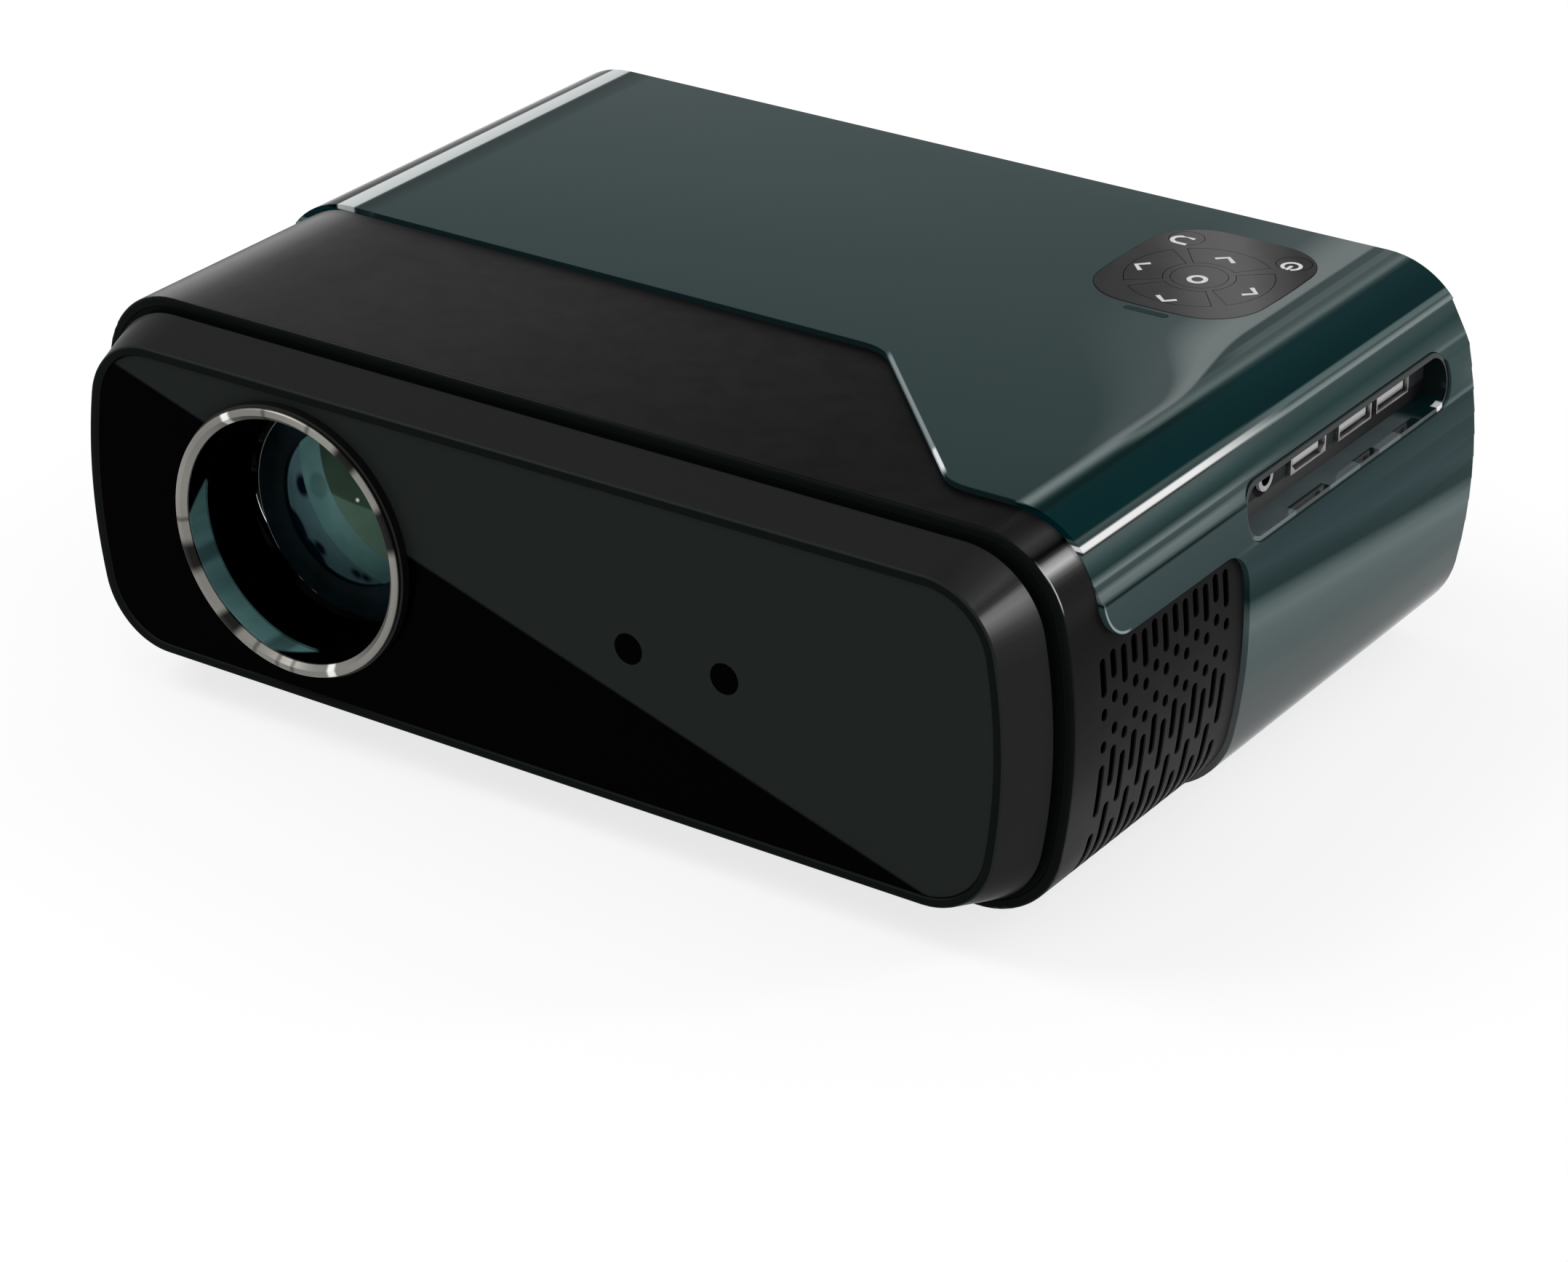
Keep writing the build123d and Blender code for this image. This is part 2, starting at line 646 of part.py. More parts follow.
def make_sensor_windows():
    """Two round windows set into the panel: the remote receiver's and the camera's."""
    for name, x in zip(("receiver_window", "camera_window"), SENSOR_X):
        with BuildPart() as piece:
            disc(depth_plane(POCKET_Y, x, MID_Z + SENSOR_DROP), SENSOR_R, PANEL_T)
        save(piece, name)


def make_sensor_board():
    """Board behind the bezel wall with the receiver and the focusing camera."""
    sensor_z = MID_Z + SENSOR_DROP
    mid_x = sum(SENSOR_X) / 2
    with BuildPart() as piece:
        with BuildSketch(depth_plane(BEZEL_WALL_Y, mid_x, sensor_z)):
            RectangleRounded(SENSOR_BOARD[0], SENSOR_BOARD[1], BOARD_T)
        extrude(amount=BOARD_T, dir=BACK)
        for x in SENSOR_X:
            disc(depth_plane(BEZEL_WALL_Y, x, sensor_z), SENSOR_HOLE_R - PLAY, BEZEL_WALL_T - PLAY)
    save(piece, "sensor_board")


# Lens: barrel with its rack, glasses, tube, pinion and motor
def make_focus_barrel():
    """Sliding lens barrel with seats for three glasses and a rack on its right side."""
    step_1 = GLASS_Y + GLASS_RIM_T + FRONT_SEAT_LENGTH
    step_2 = BARREL_END_Y - REAR_SEAT_LENGTH
    glass_bore = GLASS_R + GLASS_FIT
    tip_x = RACK_PITCH_OFFSET + TOOTH_ADDENDUM
    root_x = RACK_PITCH_OFFSET - TOOTH_DEDENDUM
    pitch = pi * TOOTH_MODULE
    half_root = pitch * TOOTH_FILL / 2 + TOOTH_DEDENDUM * sin(TOOTH_SLOPE)
    half_tip = pitch * TOOTH_FILL / 2 - TOOTH_ADDENDUM * sin(TOOTH_SLOPE)
    with BuildPart() as piece:
        turned(
            [
                (NOSE_LIP_R, NOSE_Y),
                (NOSE_R, NOSE_Y),
                (NOSE_R, BARREL_Y),
                (BARREL_R, BARREL_Y),
                (BARREL_R, BARREL_END_Y),
                (glass_bore, BARREL_END_Y),
                (glass_bore, step_2),
                (INNER_BORE_R, step_2),
                (INNER_BORE_R, step_1),
                (glass_bore, step_1),
                (glass_bore, GLASS_Y),
                (GLASS_LIP_R, GLASS_Y),
                (GLASS_LIP_R, GLASS_Y - GLASS_LIP_T),
            ]
        )
        with BuildSketch(level(LENS_Z - RACK_W / 2, LENS_X, RACK_Y)):
            with Locations(((BARREL_R - RACK_BURY + root_x) / 2, 0)):
                Rectangle(root_x - BARREL_R + RACK_BURY, RACK_LENGTH)
            with GridLocations(0, pitch, 1, RACK_TEETH):
                Polygon(
                    (root_x - TOOTH_BURY, -half_root),
                    (root_x, -half_root),
                    (tip_x, -half_tip),
                    (tip_x, half_tip),
                    (root_x, half_root),
                    (root_x - TOOTH_BURY, half_root),
                    align=None,
                )
        extrude(amount=RACK_W)
    save(piece, "focus_barrel")
    return step_1, step_2


def glass_face(rim_r, rim_at, centre_at):
    """Profile of one glass face from its rim to its axis: flat, domed or hollow."""
    sag = centre_at - rim_at
    if sag == 0:
        Line((rim_r, rim_at), (0, centre_at))
        return
    sphere_r = (rim_r**2 + sag**2) / (2 * abs(sag))
    half = asin(rim_r / sphere_r) / 2
    bow_at = centre_at - sag / abs(sag) * sphere_r * (1 - cos(half))
    ThreePointArc((rim_r, rim_at), (sphere_r * sin(half), bow_at), (0, centre_at))


def make_glass(name, plane, axis, radii, near, far):
    """Round glass with a flat rim; near and far give its faces at the rim and the centre."""
    edge_r, rim_r = radii
    with BuildPart() as piece:
        with BuildSketch(plane):
            with BuildLine():
                Line((0, near[1]), (0, far[1]))
                glass_face(rim_r, *far)
                Line((rim_r, far[0]), (edge_r, far[0]))
                Line((edge_r, far[0]), (edge_r, near[0]))
                Line((edge_r, near[0]), (rim_r, near[0]))
                glass_face(rim_r, *near)
            make_face()
        revolve(axis=axis)
    save(piece, name)


def make_barrel_glasses(step_1, step_2):
    """Front, middle and rear glasses in the barrel's seats."""
    radii = (GLASS_R, GLASS_LIP_R - 2 * PLAY)
    rim_1, rim_2, rim_3 = GLASS_Y + GLASS_RIM_T, step_1 - GLASS_RIM_T, step_2 + GLASS_RIM_T
    faces = {
        "front_glass": ((GLASS_Y, GLASS_Y - FRONT_GLASS_SAG), (rim_1, rim_1)),
        "middle_glass": ((rim_2, rim_2 + MIDDLE_GLASS_SAG), (step_1, step_1)),
        "rear_glass": ((step_2, step_2), (rim_3, rim_3 + REAR_GLASS_SAG)),
    }
    for name, (near, far) in faces.items():
        make_glass(name, LENS_PLANE, LENS_AXIS, radii, near, far)


def make_lens_tube():
    """Fixed tube on the engine that guides the barrel, with the motor's plate."""
    outer = TUBE_BORE_R + TUBE_T
    slot_half_y = RACK_LENGTH / 2 + BARREL_TRAVEL + RACK_SIDE_PLAY
    plate_x = (LENS_X + TUBE_BORE_R, PINION_X + MOTOR_R)
    with BuildPart() as piece:
        turned(
            [
                (TUBE_BORE_R, TUBE_Y),
                (outer, TUBE_Y),
                (outer, ENGINE_Y[0] - TUBE_FLANGE_T),
                (TUBE_FLANGE_R, ENGINE_Y[0] - TUBE_FLANGE_T),
                (TUBE_FLANGE_R, ENGINE_Y[0]),
                (TUBE_BORE_R, ENGINE_Y[0]),
            ]
        )
        block(
            plate_x,
            (RACK_Y - MOTOR_R, RACK_Y + MOTOR_R),
            (MOTOR_PLATE_Z, MOTOR_Z),
        )
        disc(depth_plane(ENGINE_Y[0], LENS_X, LENS_Z), TUBE_BORE_R, ENGINE_Y[0] - TUBE_Y, Mode.SUBTRACT)
        block(
            (LENS_X + TUBE_BORE_R - TUBE_T, LENS_X + outer + TUBE_T),
            (RACK_Y - slot_half_y, RACK_Y + slot_half_y),
            (LENS_Z - RACK_W / 2 - RACK_SIDE_PLAY, LENS_Z + RACK_W / 2 + RACK_SIDE_PLAY),
            Mode.SUBTRACT,
        )
        disc(level(MOTOR_PLATE_Z, PINION_X, RACK_Y), SHAFT_R + 2 * PLAY, MOTOR_PLATE_T, Mode.SUBTRACT)
    save(piece, "lens_tube")


def make_focus_pinion():
    """Toothed pinion and its shaft, which stands up into the motor."""
    step = 360 / PINION_TEETH
    root_r = PINION_PITCH_R - TOOTH_DEDENDUM
    tip_r = PINION_PITCH_R + TOOTH_ADDENDUM
    half_pitch = pi * TOOTH_MODULE * TOOTH_FILL / 2
    half_root = half_pitch + TOOTH_DEDENDUM * sin(TOOTH_SLOPE)
    half_tip = half_pitch - TOOTH_ADDENDUM * sin(TOOTH_TIP_SLOPE)
    with BuildPart() as piece:
        with BuildSketch(level(PINION_Z[0], PINION_X, RACK_Y)):
            Circle(root_r)
            with PolarLocations(0, PINION_TEETH, step / 2):
                Polygon(
                    (root_r - TOOTH_BURY, -half_root),
                    (root_r, -half_root),
                    (PINION_PITCH_R, -half_pitch),
                    (tip_r, -half_tip),
                    (tip_r, half_tip),
                    (PINION_PITCH_R, half_pitch),
                    (root_r, half_root),
                    (root_r - TOOTH_BURY, half_root),
                    align=None,
                )
        extrude(amount=PINION_W)
        disc(
            level(PINION_Z[0], PINION_X, RACK_Y),
            SHAFT_R,
            MOTOR_Z - PINION_Z[0] + MOTOR_BEARING - PLAY,
        )
    save(piece, "focus_pinion")


def make_focus_motor():
    """Focus motor can on the tube's plate, with the shaft's bearing."""
    with BuildPart() as piece:
        disc(level(MOTOR_Z, PINION_X, RACK_Y), MOTOR_R, MOTOR_H)
        fillet(piece.faces().sort_by(Axis.Z)[-1].edges(), RIM_EDGE_R)
        disc(level(MOTOR_Z, PINION_X, RACK_Y), SHAFT_R + SHAFT_FIT, MOTOR_BEARING, Mode.SUBTRACT)
    save(piece, "focus_motor")


# Case: shell, cover, bottom plate and rear panel
def grille_faces():
    """Slots and dots of the side grille as faces of the current sketch."""
    for column in range(GRILLE_COLUMNS):
        y = FRONT_Y + GRILLE_FIRST + column * GRILLE_PITCH
        slots = ODD_SLOTS if column % 2 else EVEN_SLOTS
        dots = ODD_DOTS if column % 2 else EVEN_DOTS
        marks = list(slots) + [(z - DOT_H / 2, z + DOT_H / 2) for z in dots]
        for low, high in marks:
            with Locations((y, (low + high) / 2)):
                SlotOverall(high - low, SLOT_W, rotation=90)


def pad_outline(grow):
    """Keypad's outline about its centre, with bulged sides, grown all round."""
    w, d = PAD_W / 2 + grow, PAD_D / 2 + grow
    near_w, near_d = w - PAD_BULGE, d - PAD_BULGE
    with BuildLine() as sides:
        ThreePointArc((-near_w, -near_d), (0, -d), (near_w, -near_d))
        ThreePointArc((near_w, -near_d), (w, 0), (near_w, near_d))
        ThreePointArc((near_w, near_d), (0, d), (-near_w, near_d))
        ThreePointArc((-near_w, near_d), (-w, 0), (-near_w, -near_d))
    with BuildSketch(mode=Mode.PRIVATE) as pad:
        make_face(sides.edges())
        fillet(pad.vertices(), PAD_CORNER_R + grow)
    add(pad.sketch)


def key_shapes():
    """Each key's name, centre and kind of outline."""
    arrows = {"key_right": 0, "key_up": 90, "key_left": 180, "key_down": 270}
    keys = [("key_ok", NAV_X, NAV_Y, "ok", 0)]
    keys += [(name, NAV_X, NAV_Y, "arrow", turn) for name, turn in arrows.items()]
    keys.append(("key_back", PAD_X - CORNER_KEY_X, PAD_Y + CORNER_KEY_Y, "corner", 0))
    keys.append(("key_power", PAD_X + CORNER_KEY_X, PAD_Y + CORNER_KEY_Y, "corner", 0))
    return keys


def key_outline(kind, turn, grow):
    """Outline of one key about its centre, grown all round."""
    if kind == "ok":
        Circle(OK_KEY_R + grow)
        return
    if kind == "corner":
        Circle(CORNER_KEY_R + grow)
        return
    inner, outer = ARROW_IN_R - grow, ARROW_OUT_R + grow
    sweep = radians(ARROW_SWEEP / 2)
    low, high = sweep + asin(grow / inner), sweep + asin(grow / outer)
    a, b = (inner * cos(low), -inner * sin(low)), (outer * cos(high), -outer * sin(high))
    c, d = (outer * cos(high), outer * sin(high)), (inner * cos(low), inner * sin(low))
    with BuildLine(Plane.XY.rotated((0, 0, turn))) as sector:
        Line(a, b)
        ThreePointArc(b, (outer, 0), c)
        Line(c, d)
        ThreePointArc(d, (inner, 0), a)
    make_face(sector.edges())


def key_holes(z, depth, grow):
    """Holes for every key, cut up from height z."""
    for _, x, y, kind, turn in key_shapes():
        with BuildSketch(level(z, x, y)) as hole:
            key_outline(kind, turn, grow)
        extrude(hole.sketch, depth, mode=Mode.SUBTRACT)


def bay_outline(shrink, mode=Mode.ADD):
    """Rounded outline of the port bay, drawn in by shrink."""
    RectangleRounded(
        BAY_LENGTH - 2 * shrink,
        BAY_H - 2 * shrink,
        BAY_CORNER_R - shrink,
        mode=mode,
    )


def bay_cut():
    """Opening of the port bay through the right side."""
    with BuildSketch(side_plane(PORT_PLATE_X - PORT_PLATE_T, BAY_Y, BAY_Z)) as opening:
        bay_outline(0)
    extrude(opening.sketch, GRILLE_REACH, mode=Mode.SUBTRACT)


def make_body_shell():
    """Structural inner shell: walls, grilles, ledges, fan seats and hanging bosses."""
    ledge_y = (SHELL_FRONT_Y + PLUG_DEPTH + LEDGE_FRONT_GAP, REAR_PANEL_Y - LEDGE_FRONT_GAP)
    boss_top = SHELL_CEILING_Z + SHELL_T / 2
    with BuildPart() as piece:
        case_tube(SHELL_FRONT_Y, SHELL_REAR_Y, 0, SHELL_T)
        fillet(piece.faces().sort_by(Axis.Y)[0].outer_wire().edges(), SHELL_EDGE_R)
        block(
            (-PLATE_HALF_W, PLATE_HALF_W),
            (SHELL_FRONT_Y, SHELL_REAR_Y),
            (0, PLATE_TOP_Z + SHELL_T),
            Mode.SUBTRACT,
        )
        for side in (-1, 1):
            ledge_x = sorted((side * (PLATE_HALF_W - LEDGE_W), side * (PLATE_HALF_W + SHELL_T)))
            block(ledge_x, ledge_y, (PLATE_TOP_Z, PLATE_TOP_Z + LEDGE_T))
            with BuildSketch(side_plane(side * (SHELL_HALF_W + PLAY))):
                grille_faces()
            extrude(amount=-side * GRILLE_REACH, mode=Mode.SUBTRACT)
        for y in (INTAKE_Y - FAN_SIZE / 2 + FAN_SEAT_INSET, INTAKE_Y + FAN_SIZE / 2 - FAN_SEAT_INSET):
            block(
                (INTAKE_X, INTAKE_X + FAN_DEPTH),
                (y - POST_R, y + POST_R),
                (PLATE_TOP_Z + LEDGE_T / 2, FAN_SEAT_Z),
            )
        bay_cut()
        for x, y in BOARD_BOSSES:
            seat = level(MAIN_BOARD_TOP, MAIN_BOARD_X[0] + x, MAIN_BOARD_Y[1] + y)
            disc(seat, POST_R, boss_top - MAIN_BOARD_TOP)
        for x in (-1, 1):
            for y in (-1, 1):
                corner = level(KEY_BOARD_TOP, PAD_X + x * (PAD_W / 2 - POST_R), PAD_Y + y * PAD_D / 2)
                disc(corner, KEY_POST_R, boss_top - KEY_BOARD_TOP)
        key_holes(SHELL_CEILING_Z - KEY_HOLE_OVER, SHELL_T + 2 * KEY_HOLE_OVER, KEY_SEAM + PLAY)
        with BuildSketch(level(PLATE_TOP_Z)):
            with Locations(*[(s * SCREW_X, y) for s in (-1, 1) for y in SCREW_Y]):
                Circle(SCREW_R + SCREW_PLAY / 2)
        extrude(amount=LEDGE_T, mode=Mode.SUBTRACT)
    save(piece, "body_shell")


def crease_cut(side):
    """Shallow channel along one shoulder of the cover, from its crease to its step."""
    top_x, low_x = outline_x(CREASE_RISE, -COVER_T), outline_x(CREASE_FOOT, -COVER_T)
    with BuildSketch(depth_plane(FRONT_Y, z=MID_Z)) as channel:
        Polygon(
            (side * top_x, CREASE_RISE),
            (side * (top_x - CREASE_CUT), CREASE_RISE - CREASE_CUT),
            (side * (low_x - CREASE_CUT), CREASE_FOOT + CREASE_CUT),
            (side * low_x, CREASE_FOOT),
            (side * (low_x + COVER_T), CREASE_RISE),
            align=None,
        )
    extrude(channel.sketch, BODY_DEPTH + COVER_T, dir=BACK, mode=Mode.SUBTRACT)


def make_outer_cover():
    """Glossy wrap-around cover with its stepped front edge, shoulders and openings."""
    left_y, right_y = FRONT_Y + COVER_FRONT_LEFT, FRONT_Y + COVER_FRONT_RIGHT
    side_y = BAY_FRONT_Y - COVER_SIDE_LEAD
    far_x = SHELL_HALF_W + 2 * COVER_T
    front = FRONT_Y - COVER_T
    with BuildPart() as piece:
        with BuildSketch(depth_plane(right_y - COVER_T, z=MID_Z)):
            case_outline(-COVER_T)
        extrude(amount=REAR_Y - right_y + COVER_T, dir=BACK)
        fillet(piece.faces().sort_by(Axis.Y)[-1].edges(), COVER_REAR_R)
        with BuildSketch(depth_plane(front, z=MID_Z)):
            case_outline(-COVER_GAP)
        extrude(amount=BODY_DEPTH + 3 * COVER_T, dir=BACK, mode=Mode.SUBTRACT)
        for side in (-1, 1):
            crease_cut(side)
        block(
            (-COVER_FLANGE_X, COVER_FLANGE_X),
            (front, REAR_Y),
            (0, PLATE_TOP_Z + SHELL_T),
            Mode.SUBTRACT,
        )
        with BuildSketch(level(0)) as top_edge:
            with BuildLine():
                Polyline(
                    (-far_x, front),
                    (-far_x, left_y),
                    (COVER_STEP_X[0], left_y),
                    (COVER_STEP_X[1], right_y),
                    (far_x, right_y),
                    (far_x, front),
                    close=True,
                )
            make_face()
            fillet(top_edge.vertices().filter_by(lambda v: abs(v.X) < SHELL_HALF_W), COVER_STEP_R)
        extrude(amount=COVER_TOP_Z + COVER_T, mode=Mode.SUBTRACT)
        turn = FLAP_CORNER_R * (1 - cos(pi / 4))
        with BuildSketch(side_plane(PLATE_HALF_W - LEDGE_W)):
            with BuildLine():
                Line((front, 0), (front, FLAP_BOTTOM_Z + FLAP_CORNER_R))
                Line((front, FLAP_BOTTOM_Z + FLAP_CORNER_R), (right_y, FLAP_BOTTOM_Z + FLAP_CORNER_R))
                ThreePointArc(
                    (right_y, FLAP_BOTTOM_Z + FLAP_CORNER_R),
                    (right_y + turn, FLAP_BOTTOM_Z + turn),
                    (right_y + FLAP_CORNER_R, FLAP_BOTTOM_Z),
                )
                Line((right_y + FLAP_CORNER_R, FLAP_BOTTOM_Z), (side_y - FLAP_CORNER_R, FLAP_BOTTOM_Z))
                ThreePointArc(
                    (side_y - FLAP_CORNER_R, FLAP_BOTTOM_Z),
                    (side_y - turn, FLAP_BOTTOM_Z - turn),
                    (side_y, FLAP_BOTTOM_Z - FLAP_CORNER_R),
                )
                Line((side_y, FLAP_BOTTOM_Z - FLAP_CORNER_R), (side_y, 0))
                Line((side_y, 0), (front, 0))
            make_face()
        extrude(amount=far_x, mode=Mode.SUBTRACT)
        bay_cut()
        with BuildSketch(level(SHELL_TOP_Z - COVER_T, PAD_X, PAD_Y)):
            pad_outline(PLAY)
            with Locations((0, -PAD_D / 2 - WINDOW_AHEAD)):
                SlotOverall(WINDOW_W + 2 * PLAY, WINDOW_D + 2 * PLAY)
        extrude(amount=3 * COVER_T, mode=Mode.SUBTRACT)
    save(piece, "outer_cover")


def make_bottom_plate():
    """Flat bottom plate with standoffs, the tilt foot's boss and speaker slots."""
    half_w = PLATE_HALF_W - PLATE_GAP
    plate_y = (SHELL_FRONT_Y + PLATE_GAP, SHELL_REAR_Y - PLATE_GAP)
    engine_y = (ENGINE_Y[0] + POST_INSET, ENGINE_Y[1] - POST_INSET)
    board_x = (POWER_BOARD_X[0] + POST_INSET, POWER_BOARD_X[1] - POST_INSET)
    board_y = (POWER_BOARD_Y[0] + POST_INSET, POWER_BOARD_Y[1] - POST_INSET)
    posts = [(x, y) for x in ENGINE_FOOT_X for y in engine_y]
    posts += [(x, y) for x in board_x for y in board_y]
    with BuildPart() as piece:
        block((-half_w, half_w), plate_y, (PLATE_Z, PLATE_TOP_Z))
        fillet(piece.edges().filter_by(Axis.Z), POST_R)
        with BuildSketch(level(PLATE_TOP_Z)):
            with Locations(*posts):
                Circle(POST_R)
        extrude(amount=ENGINE_FLOOR_Z - PLATE_TOP_Z)
        disc(level(PLATE_TOP_Z, TILT_X, TILT_Y), TILT_BOSS_R, TILT_BOSS_H)
        disc(level(PLATE_TOP_Z), TRIPOD_BOSS_R, PLATE_Z + TRIPOD_LENGTH + PLAY - PLATE_TOP_Z)
        disc(level(PLATE_Z, TILT_X, TILT_Y), TILT_STUD_R + TILT_FIT, TILT_BOSS_H + PLATE_T, Mode.SUBTRACT)
        disc(level(PLATE_Z), TRIPOD_BODY_R + TRIPOD_FIT, TRIPOD_LENGTH + PLATE_T, Mode.SUBTRACT)
        for _, x, ys in SPEAKERS:
            with BuildSketch(level(PLATE_Z, x, sum(ys) / 2)):
                with GridLocations(VENT_PITCH, 0, SPEAKER_SLOTS, 1):
                    SlotOverall(VENT_H, VENT_W, rotation=90)
            extrude(amount=PLATE_T, mode=Mode.SUBTRACT)
        with BuildSketch(level(PLATE_Z)):
            with Locations(*[(s * SCREW_X, y) for s in (-1, 1) for y in SCREW_Y]):
                Circle(SCREW_R + SCREW_PLAY)
        extrude(amount=PLATE_T, mode=Mode.SUBTRACT)
        with BuildSketch(level(PLATE_Z)):
            with Locations(*[(s * SCREW_X, y) for s in (-1, 1) for y in SCREW_Y]):
                Circle(SCREW_HEAD_R + SCREW_PLAY)
        extrude(amount=SCREW_HEAD_T, mode=Mode.SUBTRACT)
    save(piece, "bottom_plate")


def make_case_screws():
    """Four countersunk-flush screws that hold the bottom plate to the shell's ledges."""
    with BuildPart() as piece:
        for side in (-1, 1):
            for y in SCREW_Y:
                disc(level(PLATE_Z, side * SCREW_X, y), SCREW_HEAD_R, SCREW_HEAD_T)
                disc(level(PLATE_Z, side * SCREW_X, y), SCREW_R, PLATE_T + LEDGE_T - PLAY)
                with BuildSketch(level(PLATE_Z, side * SCREW_X, y)):
                    Rectangle(SCREW_HEAD_R, SCREW_CROSS_W)
                    Rectangle(SCREW_CROSS_W, SCREW_HEAD_R)
                extrude(amount=SCREW_HEAD_T / 2, mode=Mode.SUBTRACT)
    save(piece, "case_screws")


def make_feet():
    """Rubber feet, the screw-down tilt foot and the tripod insert."""
    with BuildPart() as rubber:
        for x in (-RUBBER_X, RUBBER_X):
            for y in RUBBER_Y:
                disc(level(0, x, y), RUBBER_R, PLATE_Z)
        fillet(rubber.edges().group_by(Axis.Z)[0], RIM_EDGE_R)
    save(rubber, "rubber_feet")
    with BuildPart() as tilt:
        disc(level(TILT_CLEAR, TILT_X, TILT_Y), TILT_PAD_R, TILT_PAD_T)
        with BuildSketch(level(TILT_CLEAR, TILT_X, TILT_Y)):
            with PolarLocations(TILT_PAD_R + TILT_CLEAR, TILT_GRIPS):
                Circle(TILT_GRIP_R)
        extrude(amount=TILT_PAD_T, mode=Mode.SUBTRACT)
        disc(level(TILT_CLEAR, TILT_X, TILT_Y), TILT_STUD_R, TILT_PAD_T + TILT_STUD_LENGTH)
    save(tilt, "tilt_foot")
    with BuildPart() as insert:
        disc(level(PLATE_Z), TRIPOD_BODY_R, TRIPOD_LENGTH)
        disc(level(PLATE_Z), TRIPOD_R, TRIPOD_LENGTH, Mode.SUBTRACT)
    save(insert, "tripod_insert")


def vent_faces(x, z):
    """Two rows of upright vent slots about a centre."""
    with Locations((x, z)):
        with GridLocations(VENT_PITCH, VENT_ROW_PITCH, VENT_COUNT, 2):
            SlotOverall(VENT_H, VENT_W, rotation=90)


def make_rear_panel():
    """Rear panel with exhaust vents and the power inlet's cut-out."""
    with BuildPart() as piece:
        with BuildSketch(depth_plane(REAR_PANEL_Y, z=MID_Z)):
            case_outline(SHELL_T + PLAY)
        extrude(amount=REAR_PANEL_T, dir=BACK)
        with BuildSketch(depth_plane(REAR_PANEL_Y)):
            vent_faces(EXHAUST_X, FAN_Z)
            vent_faces(LEFT_VENT_X, FAN_Z)
            with Locations((INLET_X, INLET_Z)):
                SlotOverall(INLET_W + 2 * PLAY, INLET_H + 2 * PLAY)
        extrude(amount=REAR_PANEL_T, dir=BACK, mode=Mode.SUBTRACT)
    save(piece, "rear_panel")


def make_power_inlet():
    """Two-pin mains inlet: shroud, flange and pins, open to the rear."""
    mouth = REAR_PANEL_Y + REAR_PANEL_T
    with BuildPart() as piece:
        with BuildSketch(depth_plane(mouth - INLET_DEPTH, INLET_X, INLET_Z)):
            SlotOverall(INLET_W, INLET_H)
        extrude(amount=INLET_DEPTH, dir=BACK)
        with BuildSketch(depth_plane(REAR_PANEL_Y - FAN_STRUT_T, INLET_X, INLET_Z)):
            RectangleRounded(INLET_W + 2 * INLET_FLANGE, INLET_H + 2 * INLET_FLANGE, POST_R)
        extrude(amount=FAN_STRUT_T, dir=BACK)
        with BuildSketch(depth_plane(mouth - INLET_DEPTH + INLET_WALL, INLET_X, INLET_Z)):
            SlotOverall(INLET_W - 2 * INLET_WALL, INLET_H - 2 * INLET_WALL)
        extrude(amount=INLET_DEPTH, dir=BACK, mode=Mode.SUBTRACT)
        with BuildSketch(depth_plane(mouth - INLET_DEPTH, INLET_X, INLET_Z)):
            with GridLocations(INLET_PIN_PITCH, 0, 2, 1):
                Circle(INLET_PIN_R)
        extrude(amount=INLET_DEPTH - INLET_WALL, dir=BACK)
    save(piece, "power_inlet")


# Port bay, plate and sockets
def make_port_bay():
    """Liner of the port bay: a rounded sleeve through the shell and the cover."""
    with BuildPart() as piece:
        with BuildSketch(side_plane(PORT_PLATE_X, BAY_Y, BAY_Z)):
            bay_outline(PLAY)
            bay_outline(PLAY + BAY_WALL, Mode.SUBTRACT)
        extrude(amount=GRILLE_REACH)
        with BuildSketch(depth_plane(FRONT_Y, z=MID_Z)):
            case_outline(-COVER_T + BAY_SINK)
        extrude(amount=BODY_DEPTH, dir=BACK, mode=Mode.INTERSECT)
    save(piece, "port_bay")


def socket_places():
    """Centre depth, centre height, width and height of each rectangular socket."""
    places = {"hdmi_socket": (HDMI_AT, HDMI_W, HDMI_H)}
    places["usb_socket_front"] = (USB_AT[0], USB_W, USB_H)
    places["usb_socket_rear"] = (USB_AT[1], USB_W, USB_H)
    return {
        name: (BAY_END_Y - at, MAIN_BOARD_TOP + high / 2, wide, high)
        for name, (at, wide, high) in places.items()
    }


def make_port_plate():
    """Plate behind the bay with a hole for each socket."""
    low = BAY_LOW_Z - PORT_PLATE_BORDER
    high = BAY_HIGH_Z + PORT_PLATE_RISE
    with BuildPart() as piece:
        with BuildSketch(side_plane(PORT_PLATE_X - PORT_PLATE_T, BAY_Y, (low + high) / 2)):
            RectangleRounded(BAY_LENGTH + 2 * PORT_PLATE_BORDER, high - low, PORT_PLATE_BORDER)
        extrude(amount=PORT_PLATE_T)
        with BuildSketch(side_plane(PORT_PLATE_X - PORT_PLATE_T)):
            for y, z, wide, tall in socket_places().values():
                with Locations((y, z)):
                    Rectangle(wide + 2 * SOCKET_PLAY, tall + 2 * SOCKET_PLAY)
            with Locations((BAY_END_Y - JACK_AT, MAIN_BOARD_TOP + JACK_RISE)):
                Circle(JACK_NOSE_R + SOCKET_PLAY)
        extrude(amount=PORT_PLATE_T, mode=Mode.SUBTRACT)
    save(piece, "port_plate")


def socket_mouth(name, wide, tall):
    """Opening of one socket about its centre."""
    w, h = wide - 2 * SOCKET_WALL, tall - 2 * SOCKET_WALL
    if name.startswith("usb"):
        Rectangle(w, h)
        return
    Polygon(
        (-w / 2, h / 2),
        (w / 2, h / 2),
        (w / 2, -h / 6),
        (w / 2 - h / 3, -h / 2),
        (h / 3 - w / 2, -h / 2),
        (-w / 2, -h / 6),
        align=None,
    )


